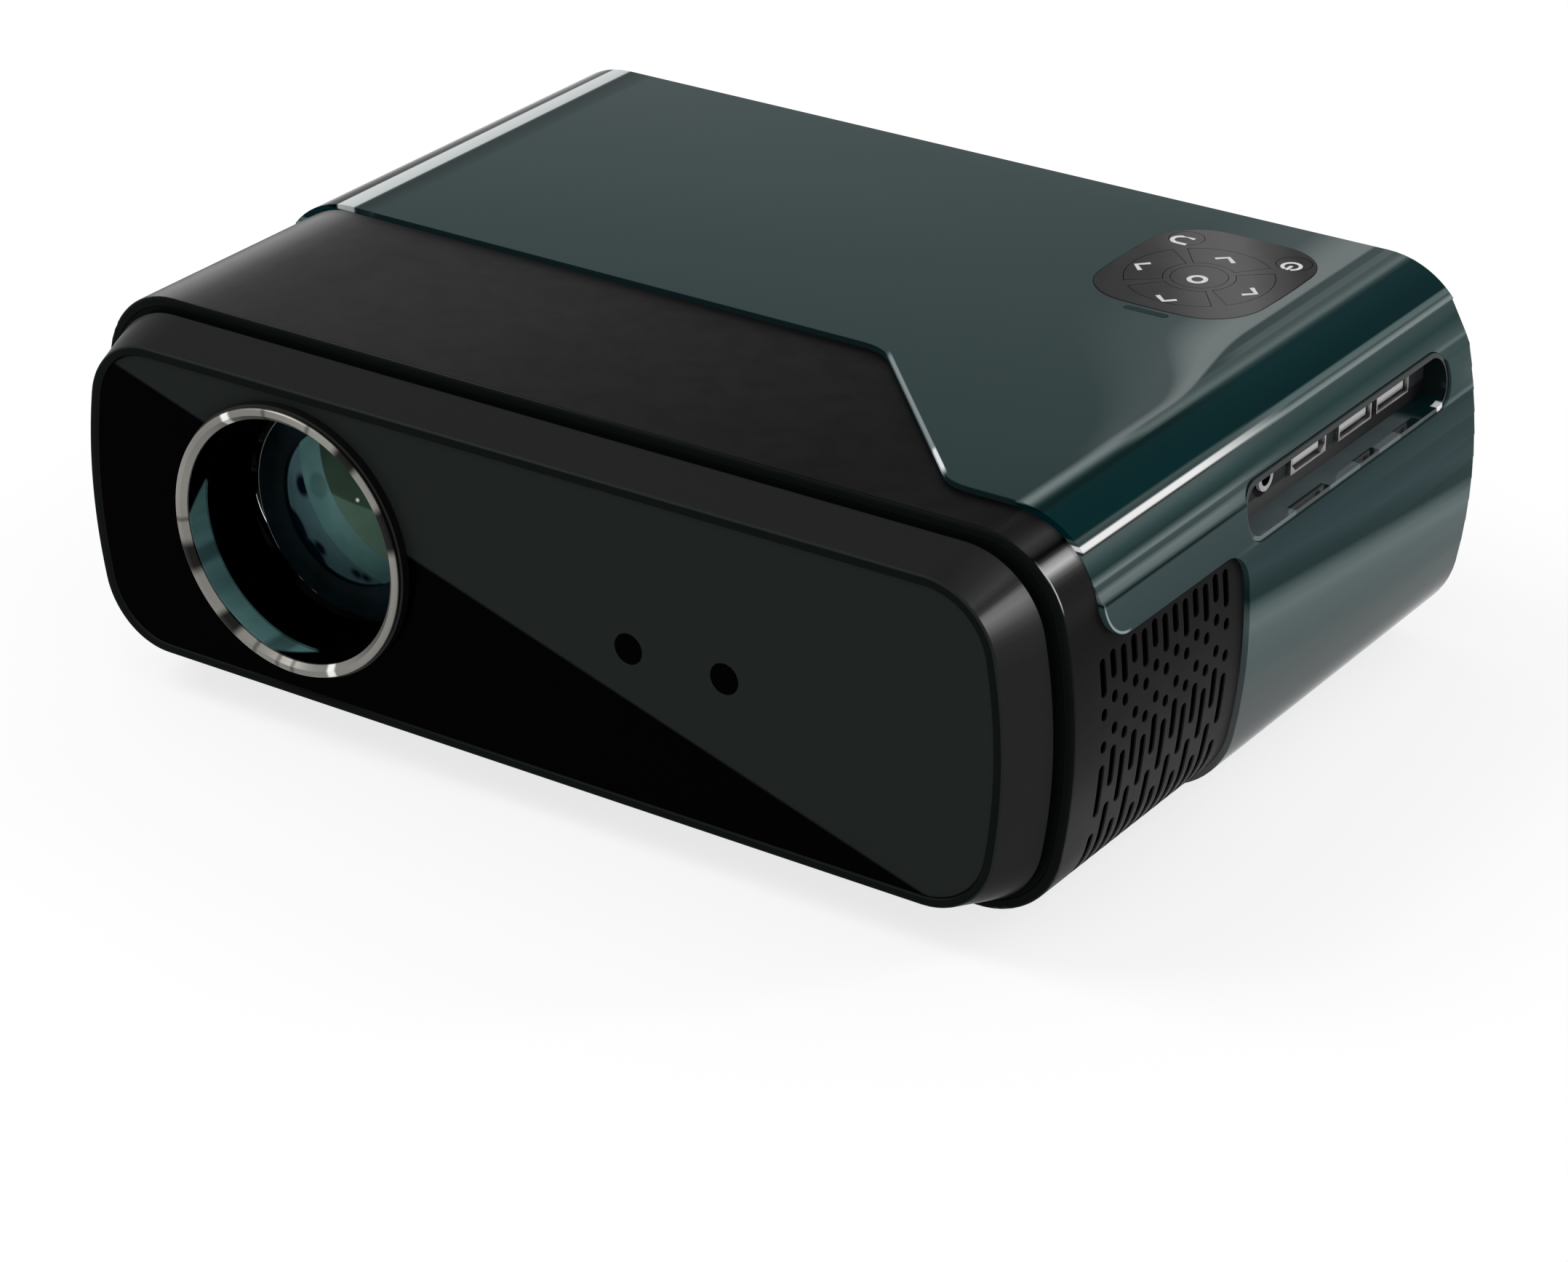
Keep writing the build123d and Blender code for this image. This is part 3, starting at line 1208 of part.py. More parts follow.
def make_sockets():
    """Metal socket shells with their contact tongues."""
    back_x = PORT_PLATE_X + SOCKET_PROUD - SOCKET_DEPTH
    for name, (y, z, wide, tall) in socket_places().items():
        tongue_t = tall * TONGUE_SHARE
        with BuildPart() as piece:
            with BuildSketch(side_plane(back_x, y, z)):
                Rectangle(wide, tall)
            extrude(amount=SOCKET_DEPTH)
            with BuildSketch(side_plane(back_x + SOCKET_WALL, y, z)):
                socket_mouth(name, wide, tall)
            extrude(amount=SOCKET_DEPTH, mode=Mode.SUBTRACT)
            with BuildSketch(side_plane(back_x, y, z + tongue_t / 2)):
                Rectangle(wide - tall / 2, tongue_t)
            extrude(amount=SOCKET_DEPTH - TONGUE_SETBACK)
        save(piece, name)


def make_audio_jack():
    """Round audio socket with a square body on the board."""
    y, z = BAY_END_Y - JACK_AT, MAIN_BOARD_TOP + JACK_RISE
    back_x = PORT_PLATE_X + SOCKET_PROUD - SOCKET_DEPTH
    face_x = PORT_PLATE_X - PORT_PLATE_T - PLAY
    with BuildPart() as piece:
        block(
            (back_x, face_x),
            (y - JACK_BODY_W / 2, y + JACK_BODY_W / 2),
            (MAIN_BOARD_TOP, z + JACK_NOSE_R),
        )
        disc(side_plane(back_x, y, z), JACK_NOSE_R, SOCKET_DEPTH)
        disc(side_plane(back_x + SOCKET_WALL, y, z), JACK_BORE_R, SOCKET_DEPTH, Mode.SUBTRACT)
    save(piece, "audio_jack")


# Keypad
def make_keypad():
    """Keypad plate, its keys, the board beneath them and the small window in front."""
    with BuildPart() as fascia:
        with BuildSketch(level(SHELL_TOP_Z, PAD_X, PAD_Y)):
            pad_outline(0)
        extrude(amount=COVER_T + PAD_PROUD)
        chamfer(fascia.faces().sort_by(Axis.Z)[-1].outer_wire().edges(), PAD_PROUD)
        key_holes(SHELL_TOP_Z, COVER_T + PAD_PROUD, KEY_SEAM)
    save(fascia, "keypad_fascia")
    top = COVER_TOP_Z + PAD_PROUD
    lip_z = SHELL_CEILING_Z - KEY_HANG - KEY_LIP_T
    switch_top = KEY_BOARD_TOP + SWITCH_H
    for name, x, y, kind, turn in key_shapes():
        with BuildPart() as key:
            with BuildSketch(level(switch_top + KEY_STEM_GAP, x, y)):
                key_outline(kind, turn, 0)
            extrude(amount=top - switch_top - KEY_STEM_GAP)
            with BuildSketch(level(lip_z, x, y)):
                key_outline(kind, turn, KEY_LIP)
            extrude(amount=KEY_LIP_T)
        save(key, name)
    with BuildPart() as board:
        block(
            (PAD_X - PAD_W / 2, PAD_X + PAD_W / 2),
            (PAD_Y - PAD_D / 2 - POST_R, PAD_Y + PAD_D / 2 + POST_R),
            (KEY_BOARD_TOP - BOARD_T, KEY_BOARD_TOP),
        )
        arm = (ARROW_IN_R + ARROW_OUT_R) / 2
        with BuildSketch(level(KEY_BOARD_TOP)):
            for _, x, y, kind, turn in key_shapes():
                out = arm if kind == "arrow" else 0
                with Locations((x + out * cos(radians(turn)), y + out * sin(radians(turn)))):
                    Circle(SWITCH_R)
        extrude(amount=switch_top - KEY_BOARD_TOP)
    save(board, "key_board")
    with BuildPart() as window:
        with BuildSketch(level(SHELL_TOP_Z, PAD_X, PAD_Y - PAD_D / 2 - WINDOW_AHEAD)):
            SlotOverall(WINDOW_W, WINDOW_D)
        extrude(amount=COVER_T)
    save(window, "status_window")


# Optical engine
def optic_plates():
    """Name, first face and thickness of each upright plate in the light path."""
    return (
        ("fresnel_out", LENS_X + FRESNEL_OUT_AT, FRESNEL_T),
        ("lcd_panel", LENS_X + LCD_AT, LCD_T),
        ("fresnel_in", LENS_X + FRESNEL_IN_AT, FRESNEL_T),
        ("heat_glass", LENS_X + HEAT_GLASS_AT, HEAT_GLASS_T),
    )


def make_engine():
    """Engine tray and lid: walls, lens hole, lamp window, lens baffle and rails."""
    inner_x = (ENGINE_X[0] + ENGINE_T, ENGINE_X[1] - ENGINE_T)
    inner_y = (ENGINE_Y[0] + ENGINE_T, ENGINE_Y[1] - ENGINE_T)
    window = LED_BOARD / 2 + LED_PLAY
    with BuildPart() as base:
        block(ENGINE_X, ENGINE_Y, (ENGINE_FLOOR_Z, ENGINE_TOP_Z))
        fillet(base.edges().filter_by(Axis.Z), ENGINE_T)
        block(inner_x, inner_y, (ENGINE_INNER_Z, ENGINE_TOP_Z), Mode.SUBTRACT)
        block(
            (BAFFLE_X, BAFFLE_X + BAFFLE_T),
            inner_y,
            (ENGINE_INNER_Z, ENGINE_TOP_Z - PLATE_TOP_GAP),
        )
        disc(side_plane(BAFFLE_X, OPTIC_Y, LENS_Z), CONDENSER_R - CONDENSER_STEP, BAFFLE_T, Mode.SUBTRACT)
        seat_x = BAFFLE_X + BAFFLE_T - CONDENSER_RIM_T
        disc(side_plane(seat_x, OPTIC_Y, LENS_Z), CONDENSER_R + PLATE_PLAY, BAFFLE_T, Mode.SUBTRACT)
        disc(depth_plane(ENGINE_Y[0] + ENGINE_T, LENS_X, LENS_Z), LENS_HOLE_R, ENGINE_T, Mode.SUBTRACT)
        block(
            (inner_x[1], ENGINE_X[1]),
            (OPTIC_Y - window, OPTIC_Y + window),
            (LENS_Z - window, LENS_Z + window),
            Mode.SUBTRACT,
        )
        for _, x, thick in optic_plates():
            for rail_x in (x - PLATE_PLAY - RAIL_T, x + thick + PLATE_PLAY):
                block((rail_x, rail_x + RAIL_T), inner_y, (ENGINE_INNER_Z, ENGINE_INNER_Z + RAIL_H))
    save(base, "engine_base")
    with BuildPart() as lid:
        block(ENGINE_X, ENGINE_Y, (ENGINE_TOP_Z, ENGINE_TOP_Z + ENGINE_T))
        fillet(lid.edges().filter_by(Axis.Z), ENGINE_T)
    save(lid, "engine_lid")


def make_optics():
    """Plates, condenser lens and fold mirror of the light path."""
    half_d = ENGINE_HALF_D - ENGINE_T - PLATE_PLAY
    top_z = ENGINE_TOP_Z - PLATE_TOP_GAP
    for name, x, thick in optic_plates():
        with BuildPart() as plate:
            block((x, x + thick), (OPTIC_Y - half_d, OPTIC_Y + half_d), (ENGINE_INNER_Z, top_z))
            if name == "lcd_panel":
                ys = (OPTIC_Y - half_d + LCD_FRAME, OPTIC_Y + half_d - LCD_FRAME)
                zs = (ENGINE_INNER_Z + LCD_FRAME, top_z - LCD_FRAME)
                block((x, x + LCD_RECESS), ys, zs, Mode.SUBTRACT)
                block((x + thick - LCD_RECESS, x + thick), ys, zs, Mode.SUBTRACT)
        save(plate, name)
    seat_x = BAFFLE_X + BAFFLE_T - CONDENSER_RIM_T
    rim_x = seat_x + CONDENSER_RIM_T
    make_glass(
        "condenser_lens",
        Plane(origin=(0, OPTIC_Y, LENS_Z), x_dir=UP, z_dir=BACK),
        Axis((0, OPTIC_Y, LENS_Z), RIGHT),
        (CONDENSER_R, CONDENSER_R - CONDENSER_STEP),
        (seat_x, seat_x),
        (rim_x, rim_x + CONDENSER_DOME),
    )
    mirror_plane = Plane(origin=(LENS_X, OPTIC_Y, ENGINE_INNER_Z), x_dir=(1, 1, 0), z_dir=UP)
    with BuildPart() as glass:
        with BuildSketch(mirror_plane):
            with Locations((0, MIRROR_T / 2)):
                Rectangle(2 * MIRROR_HALF, MIRROR_T)
        extrude(amount=MIRROR_H)
    save(glass, "fold_mirror")


def make_lamp():
    """Light-emitting module on the heatsink, and the heatsink's fins."""
    with BuildPart() as module:
        block(
            (ENGINE_X[1] - LED_BOARD_T, ENGINE_X[1]),
            (OPTIC_Y - LED_BOARD / 2, OPTIC_Y + LED_BOARD / 2),
            (LENS_Z - LED_BOARD / 2, LENS_Z + LED_BOARD / 2),
        )
        face_x = ENGINE_X[1] - LED_BOARD_T - LED_CHIP_T
        with BuildSketch(side_plane(face_x, OPTIC_Y, LENS_Z)):
            RectangleRounded(LED_CHIP, LED_CHIP, 2 * LED_CHIP_T)
        extrude(amount=LED_CHIP_T)
    save(module, "led_module")
    base_x = ENGINE_X[1] + SINK_BASE_T
    with BuildPart() as sink:
        block((ENGINE_X[1], base_x), (OPTIC_Y - SINK_HALF_D, OPTIC_Y + SINK_HALF_D), SINK_Z)
        fin_pitch = (2 * SINK_HALF_D - FIN_T) / (FIN_COUNT - 1)
        with BuildSketch(level(SINK_Z[0], base_x + FIN_LENGTH / 2, OPTIC_Y)):
            with GridLocations(0, fin_pitch, 1, FIN_COUNT):
                Rectangle(FIN_LENGTH, FIN_T)
        extrude(amount=FIN_TOP_Z - SINK_Z[0])
    save(sink, "heatsink")


# Fans and filter
def make_fan(name, plane):
    """Fan frame and rotor about a plane's normal, from the plane outwards."""
    post_top = FAN_DEPTH - 2 * FAN_HUB_T - FAN_GAP
    with BuildPart() as frame:
        with BuildSketch(plane):
            RectangleRounded(FAN_SIZE, FAN_SIZE, FAN_CORNER_R)
            Circle(FAN_BORE_R, mode=Mode.SUBTRACT)
            with GridLocations(FAN_HOLE_PITCH, FAN_HOLE_PITCH, 2, 2):
                Circle(FAN_HOLE_R, mode=Mode.SUBTRACT)
        extrude(amount=FAN_DEPTH)
        strut = FAN_BORE_R - FAN_MOTOR_R + 2 * FAN_CORNER_R / 3
        with BuildSketch(plane):
            Circle(FAN_MOTOR_R)
            with PolarLocations((FAN_BORE_R + FAN_MOTOR_R) / 2, 4, 45):
                Rectangle(strut, FAN_STRUT_W)
        extrude(amount=FAN_STRUT_T)
        disc(plane, FAN_POST_R, post_top)
        disc(plane.offset(FAN_STRUT_T), FAN_SHAFT_R + FAN_SHAFT_FIT, FAN_DEPTH, Mode.SUBTRACT)
    save(frame, f"{name}_fan_frame")
    hub_z = FAN_STRUT_T + FAN_GAP
    top = FAN_DEPTH - FAN_HUB_T
    with BuildPart() as rotor:
        disc(plane.offset(hub_z), FAN_MOTOR_R, top - hub_z)
        disc(plane.offset(hub_z), FAN_MOTOR_R - FAN_HUB_T, top - hub_z - FAN_HUB_T, Mode.SUBTRACT)
        disc(plane.offset(hub_z), FAN_SHAFT_R, top - hub_z - FAN_HUB_T)
        length = FAN_BLADE_R - FAN_MOTOR_R + FAN_HUB_T / 2
        chord = (top - hub_z - 2 * FAN_HUB_T) / sin(radians(90 - FAN_BLADE_PITCH))
        for k in range(FAN_BLADES):
            spin = Rot(0, 0, k * 360 / FAN_BLADES)
            root = Pos(FAN_MOTOR_R - FAN_HUB_T / 2, 0, (hub_z + top) / 2) * Rot(0, 90, 0)
            with BuildSketch(Plane(plane * (spin * root * Rot(0, 0, FAN_BLADE_PITCH)))):
                Rectangle(chord, FAN_BLADE_T)
            extrude(amount=length)
    save(rotor, f"{name}_fan_rotor")


def make_filter():
    """Dust filter pad between the intake fan and the side grille."""
    face_x = INTAKE_X + FAN_DEPTH
    with BuildPart() as piece:
        with BuildSketch(side_plane(face_x, INTAKE_Y, FAN_Z)):
            RectangleRounded(FILTER_SIZE[0], FILTER_SIZE[1], FAN_CORNER_R)
        extrude(amount=FILTER_T)
    save(piece, "dust_filter")


# Boards, speakers and antenna
def make_boards():
    """Main board under the ports and power board in front of the engine."""
    with BuildPart() as main:
        block(MAIN_BOARD_X, MAIN_BOARD_Y, (MAIN_BOARD_Z, MAIN_BOARD_TOP))
        for xs, ys, tall in MAIN_BOARD_PARTS:
            block(
                [MAIN_BOARD_X[0] + x for x in xs],
                [MAIN_BOARD_Y[1] + y for y in ys],
                (MAIN_BOARD_TOP, MAIN_BOARD_TOP + tall),
            )
    save(main, "main_board")
    top = POWER_BOARD_Z + BOARD_T
    with BuildPart() as power:
        block(POWER_BOARD_X, POWER_BOARD_Y, (POWER_BOARD_Z, top))
        for xs, ys, tall in POWER_BOARD_PARTS:
            block(
                [POWER_BOARD_X[1] + x for x in xs],
                [POWER_BOARD_Y[1] + y for y in ys],
                (top, top + tall),
            )
        for x, y, radius, tall in POWER_BOARD_CANS:
            disc(level(top, POWER_BOARD_X[1] + x, POWER_BOARD_Y[1] + y), radius, tall)
    save(power, "power_board")


def make_speakers():
    """Two flat speakers on the bottom plate that fire down through its slots."""
    for name, x, ys in SPEAKERS:
        y, deep = sum(ys) / 2, ys[1] - ys[0]
        cone_r = min(SPEAKER_W, deep) / 2 - SPEAKER_RIM
        with BuildPart() as piece:
            with BuildSketch(level(PLATE_TOP_Z, x, y)):
                RectangleRounded(SPEAKER_W, deep, POST_R)
            extrude(amount=SPEAKER_H)
            with BuildSketch(level(PLATE_TOP_Z, x, y)):
                Circle(cone_r)
            with BuildSketch(level(PLATE_TOP_Z + SPEAKER_CONE_H, x, y)):
                Circle(cone_r / 2)
            loft(mode=Mode.SUBTRACT)
        save(piece, name)


def make_antenna():
    """Flat wireless antenna on the rear panel's inner face."""
    wide, thick, tall = ANTENNA_SIZE
    with BuildPart() as piece:
        block(
            (LEFT_VENT_X - wide / 2, LEFT_VENT_X + wide / 2),
            (REAR_PANEL_Y - thick, REAR_PANEL_Y),
            (ANTENNA_Z, ANTENNA_Z + tall),
        )
    save(piece, "wireless_antenna")


make_front_bezel()
make_front_panel()
make_lens_ring()
make_lens_hood()
make_sensor_windows()
make_sensor_board()
middle_seat, rear_seat = make_focus_barrel()
make_barrel_glasses(middle_seat, rear_seat)
make_lens_tube()
make_focus_pinion()
make_focus_motor()
make_body_shell()
make_outer_cover()
make_bottom_plate()
make_case_screws()
make_feet()
make_rear_panel()
make_power_inlet()
make_port_bay()
make_port_plate()
make_sockets()
make_audio_jack()
make_keypad()
make_engine()
make_optics()
make_lamp()
make_fan("intake", Plane(origin=(INTAKE_X, INTAKE_Y, FAN_Z), x_dir=BACK, z_dir=RIGHT))
make_fan("exhaust", Plane(origin=(EXHAUST_X, EXHAUST_Y, FAN_Z), x_dir=RIGHT, z_dir=BACK))
make_filter()
make_boards()
make_speakers()
make_antenna()
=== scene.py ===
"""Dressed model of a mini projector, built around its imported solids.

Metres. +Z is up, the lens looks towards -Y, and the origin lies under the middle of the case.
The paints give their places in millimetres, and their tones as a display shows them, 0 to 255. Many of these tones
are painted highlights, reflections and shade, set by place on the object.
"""

import json
import logging
from dataclasses import dataclass
from enum import Enum
from functools import cache, reduce
from math import cos, pi, radians, sin

import bpy
from mathutils import Matrix, Vector


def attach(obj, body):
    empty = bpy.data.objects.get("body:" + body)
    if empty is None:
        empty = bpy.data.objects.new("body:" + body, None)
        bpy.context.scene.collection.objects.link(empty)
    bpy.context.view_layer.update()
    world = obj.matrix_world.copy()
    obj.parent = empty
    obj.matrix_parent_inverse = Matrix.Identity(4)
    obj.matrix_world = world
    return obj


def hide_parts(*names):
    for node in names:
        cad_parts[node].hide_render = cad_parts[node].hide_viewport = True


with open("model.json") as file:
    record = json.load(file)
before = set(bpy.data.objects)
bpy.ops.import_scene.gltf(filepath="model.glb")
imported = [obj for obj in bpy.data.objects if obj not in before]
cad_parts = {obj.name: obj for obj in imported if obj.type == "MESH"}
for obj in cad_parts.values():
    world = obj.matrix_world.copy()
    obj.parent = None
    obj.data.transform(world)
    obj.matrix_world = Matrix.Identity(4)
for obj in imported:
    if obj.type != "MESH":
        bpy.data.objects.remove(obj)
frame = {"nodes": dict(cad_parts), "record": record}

Pair = tuple[float, float]
Triple = tuple[float, float, float]
Stop = tuple[float, float, float, float]
Socket = bpy.types.NodeSocket
Node = bpy.types.Node
Material = bpy.types.Material
Object = bpy.types.Object

LOG = logging.getLogger("projector")
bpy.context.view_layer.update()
MM = 0.001
ORIGIN = (0.0, 0.0, 0.0)
EVEN = (1.0, 1.0, 1.0)
LENS_CENTRE = (-0.0601, 0.0, 0.0479)
JACK_CENTRE = (0.0, 0.0089, 0.0710)
ABOUT_X = (0.0, 1000.0, 1000.0)
ABOUT_Y = (1000.0, 0.0, 1000.0)
NOISE_LOW, NOISE_HIGH = 0.3, 0.7
SHARP_EDGE = radians(35)


class Body(str, Enum):
    """Moving and fixed bodies that a piece can ride on."""

    CASE = "case"
    BARREL = "barrel"
    OK = "ok_key"
    UP = "up_key"
    DOWN = "down_key"
    LEFT = "left_key"
    RIGHT = "right_key"
    BACK = "back_key"
    POWER = "power_key"


class Slot(str, Enum):
    """Material slots of the record."""

    COVER = "cover_teal"
    SHELL = "shell_black"
    BEZEL = "bezel_black"
    PANEL = "panel_black"
    RING = "ring_chrome"
    HOOD = "hood_gloss"
    WINDOW = "window_black"
    GLASS = "optical_glass"
    BARREL = "barrel_black"
    KEY = "key_black"
    FASCIA = "fascia_black"
    BOARD = "board_green"
    SOCKET = "socket_metal"
    JACK = "jack_black"
    RUBBER = "rubber_black"
    BRASS = "insert_brass"
    SCREW = "screw_steel"
    ENGINE = "engine_grey"
    SINK = "sink_aluminium"
    MIRROR = "mirror_face"
    FOAM = "filter_foam"
    MOTOR = "motor_steel"
    LAMP = "lamp_ceramic"
    PINION = "pinion_white"


# Materials
class NodeSheet:
    """Node tree of a material or of the world, with short calls for the nodes that the finishes share."""

    def __init__(self, owner: Material | bpy.types.World) -> None:
        """Start with an empty node tree.

        Args:
            owner: Material or world that the tree belongs to.
        """
        owner.use_nodes = True
        self.tree = owner.node_tree
        self.tree.nodes.clear()

    def feed(self, node: Node, inputs: dict[int | str, object]) -> None:
        """Link or set a node's inputs.

        Args:
            node: Node to feed.
            inputs: Source socket, number or colour of each input, by number or name.
        """
        for key, value in inputs.items():
            socket = node.inputs[key]
            if isinstance(value, Socket):
                self.tree.links.new(value, socket)
            elif isinstance(value, tuple) and len(value) < len(socket.default_value):
                socket.default_value = (*value, 1)
            else:
                socket.default_value = value

    def add(self, kind: str, inputs: dict[int | str, object], **settings: object) -> Node:
        """Add a node.

        Args:
            kind: Type of the node.
            inputs: What feeds each input.
            settings: Properties of the node.

        Returns:
            The node.
        """
        node = self.tree.nodes.new(kind)
        for key, value in settings.items():
            setattr(node, key, value)
        self.feed(node, inputs)
        return node

    def out(self, kind: str, inputs: dict[int | str, object], output: int | str = 0, **settings: object) -> Socket:
        """Add a node and return one of its outputs."""
        return self.add(kind, inputs, **settings).outputs[output]

    def place(self, scale: Triple = EVEN, centre: Triple = ORIGIN) -> Socket:
        """Object coordinates, moved to a centre and then scaled."""
        moved = {"Vector": self.out("ShaderNodeTexCoord", {}, "Object"), "Location": tuple(-c for c in centre)}
        return self.out("ShaderNodeMapping", {"Vector": self.out("ShaderNodeMapping", moved), "Scale": scale})

    def spot(self, centre: Triple = ORIGIN) -> tuple[Socket, ...]:
        """X, Y and Z in millimetres from a centre."""
        return tuple(self.add("ShaderNodeSeparateXYZ", {0: self.place((1000, 1000, 1000), centre)}).outputs)

    def reach(self, scale: Triple, centre: Triple) -> Socket:
        """Distance from a centre, with each axis scaled."""
        return self.out("ShaderNodeVectorMath", {0: self.place(scale, centre)}, "Value", operation="LENGTH")

    def angle(self, rise: object, run: object) -> Socket:
        """Angle in degrees of a slope."""
        return self.math("DEGREES", self.math("ARCTAN2", rise, run))

    def turn_about(self, centre: Triple) -> tuple[Socket, Socket]:
        """Angle in degrees, 0 to 360, and distance in millimetres about an axis along Y."""
        x, _, z = self.spot(centre)
        return self.math("WRAP", self.angle(z, x), 360, 0), self.reach(ABOUT_Y, centre)

    def noise(self, scale: float, detail: float = 3, rough: float = 0.55, stretch: Triple = EVEN) -> Socket:
        """Smooth noise, with its cells per metre, its finer layers and their weight."""
        inputs = {"Vector": self.place(stretch), "Scale": scale, "Detail": detail, "Roughness": rough}
        return self.out("ShaderNodeTexNoise", inputs)

    def cells(self, scale: float) -> Socket:
        """Distance to the nearest of many scattered points."""
        return self.out("ShaderNodeTexVoronoi", {"Vector": self.place(), "Scale": scale}, "Distance")

    def math(self, kind: str, *values: object) -> Socket:
        """Result of one arithmetic step on sockets or numbers."""
        return self.out("ShaderNodeMath", dict(enumerate(values)), operation=kind)

    def less(self, value: object, taken: object) -> Socket:
        """Difference of two values."""
        return self.math("SUBTRACT", value, taken)

    def times(self, *values: object) -> Socket:
        """Product of all values."""
        return reduce(lambda first, second: self.math("MULTIPLY", first, second), values)

    def most(self, *values: object) -> Socket:
        """Largest of all values."""
        return reduce(lambda first, second: self.math("MAXIMUM", first, second), values)

    def line(self, value: object, slope: object, start: object) -> Socket:
        """Value times a slope, added to a start."""
        return self.math("MULTIPLY_ADD", value, slope, start)

    def span(self, value: object, low: float, high: float, to_low: float = 0, to_high: float = 1) -> Socket:
        """Value moved from one range to another, with soft ends."""
        inputs = dict(enumerate((value, low, high, to_low, to_high)))
        return self.out("ShaderNodeMapRange", inputs, interpolation_type="SMOOTHSTEP")

    def vary(self, noise: Socket, low: float = 0, high: float = 1) -> Socket:
        """Value between two limits that follows a noise."""
        return self.span(noise, NOISE_LOW, NOISE_HIGH, low, high)

    def window(self, value: object, low: float, high: float, soft: float) -> Socket:
        """One between two limits and nought outside them, with soft edges of a width."""
        half, away = (high - low) / 2, self.math("ABSOLUTE", self.less(value, (low + high) / 2))
        return self.span(away, half - soft / 2, half + soft / 2, 1, 0)

    def blend(self, share: object, first: object, second: object) -> Socket:
        """Colour between two colours, by the second one's share."""
        return self.out("ShaderNodeMix", {0: share, 6: first, 7: second}, 2, data_type="RGBA")

    def layers(self, base: object, *over: tuple[object, object]) -> Socket:
        """Lay further colours over a base, each by its share."""
        return reduce(lambda under, layer: self.blend(layer[0], under, layer[1]), over, base)

    def ramp(self, value: object, stops: tuple[Stop, ...], light: float, gloss: float = 0) -> Socket:
        """Colour along a row of display tones.

        Args:
            value: Socket that runs along the row.
            stops: Place, red, green and blue of each tone, in rising order of place.
            light: Share of the studio's light on the surface.
            gloss: Light that the surface's own reflection adds.

        Returns:
            Colour socket of the row.
        """
        low, high = stops[0][0], stops[-1][0]
        node = self.add("ShaderNodeValToRGB", {0: self.times(self.less(value, low), 1 / (high - low))})
        cells = node.color_ramp.elements
        for place, *_ in stops[1:-1]:
            cells.new((place - low) / (high - low))
        for cell, (_, *tone) in zip(cells, stops):
            cell.color = (*shown(*tone, light, gloss), 1)
        return node.outputs["Color"]


class FinishSheet(NodeSheet):
    """Material with one principled shader."""

    def __init__(self, name: str) -> None:
        """Make the material, its shader and its output.

        Args:
            name: Name of the material.
        """
        self.material = bpy.data.materials.new(name)
        super().__init__(self.material)
        self.shader = self.add("ShaderNodeBsdfPrincipled", {})
        self.add("ShaderNodeOutputMaterial", {"Surface": self.shader.outputs[0]})

    def relief(self, height: Socket, strength: float, depth: float) -> None:
        """Give the shader a bump of a depth in metres."""
        inputs = {"Height": height, "Strength": strength, "Distance": depth}
        self.feed(self.shader, {"Normal": self.out("ShaderNodeBump", inputs)})

    def surface(self, inputs: dict[str, object]) -> Material:
        """Feed the shader and return the material."""
        self.feed(self.shader, inputs)
        return self.material


def tint(colour: Triple, factor: float) -> Triple:
    """Colour with each channel multiplied by a factor, at most 1."""
    return tuple(min(1, c * factor) for c in colour)


def shown(red: float, green: float, blue: float, light: float = 0.8, gloss: float = 0) -> Triple:
    """Base colour that shows as a display tone in the studio's light.

    Args:
        red: Red of the tone.
        green: Green of the tone.
        blue: Blue of the tone.
        light: Share of the studio's light on the surface.
        gloss: Light that the surface's own reflection adds.

    Returns:
        Linear colour.
    """
    tones = (c / 255 for c in (red, green, blue))
    plain = (t / 12.92 if t <= 0.04045 else ((t + 0.055) / 1.055) ** 2.4 for t in tones)
    return tuple(min(1, max(0.0002, (p - gloss) / light)) for p in plain)


def greys(*pairs: Pair) -> tuple[Stop, ...]:
    """Row of neutral tones from pairs of place and tone."""
    return tuple((place, tone, tone, tone) for place, tone in pairs)


@dataclass(frozen=True)
class Surface:
    """Surface whose tone and roughness vary softly, with a fine grain where it has one."""

    name: str
    roughness: float
    specular: float = 0.5
    grain: float = 0
    colour: Triple = ORIGIN
    grain_scale: float = 2500
    grain_depth: float = 0.00002
    mottle: Pair = (0.88, 1.12)
    mottle_noise: Pair = (35, 4)
    wear: Pair = (0.88, 1.14)
    wear_noise: tuple[object, ...] = (160, 5, 0.6)
    more: tuple[tuple[str, float], ...] = ()

    def shade(self, sheet: NodeSheet) -> Socket:
        """Base colour that varies softly."""
        dark, pale = (tint(self.colour, factor) for factor in self.mottle)
        return sheet.blend(sheet.noise(*self.mottle_noise), dark, pale)

    def build(self) -> Material:
        """Make the material.

        Returns:
            The material.
        """
        sheet = FinishSheet(self.name)
        if self.grain:
            sheet.relief(sheet.noise(self.grain_scale, 2), self.grain, self.grain_depth)
        low, high = (min(1, self.roughness * factor) for factor in self.wear)
        rough = sheet.vary(sheet.noise(*self.wear_noise), low, high)
        inputs = {"Specular IOR Level": self.specular, "Base Color": self.shade(sheet), "Roughness": rough}
        return sheet.surface({**inputs, **dict(self.more)})


@dataclass(frozen=True)
class Plastic(Surface):
    """Moulded plastic or rubber with mottling and a fine grain."""

    grain: float = 0.12


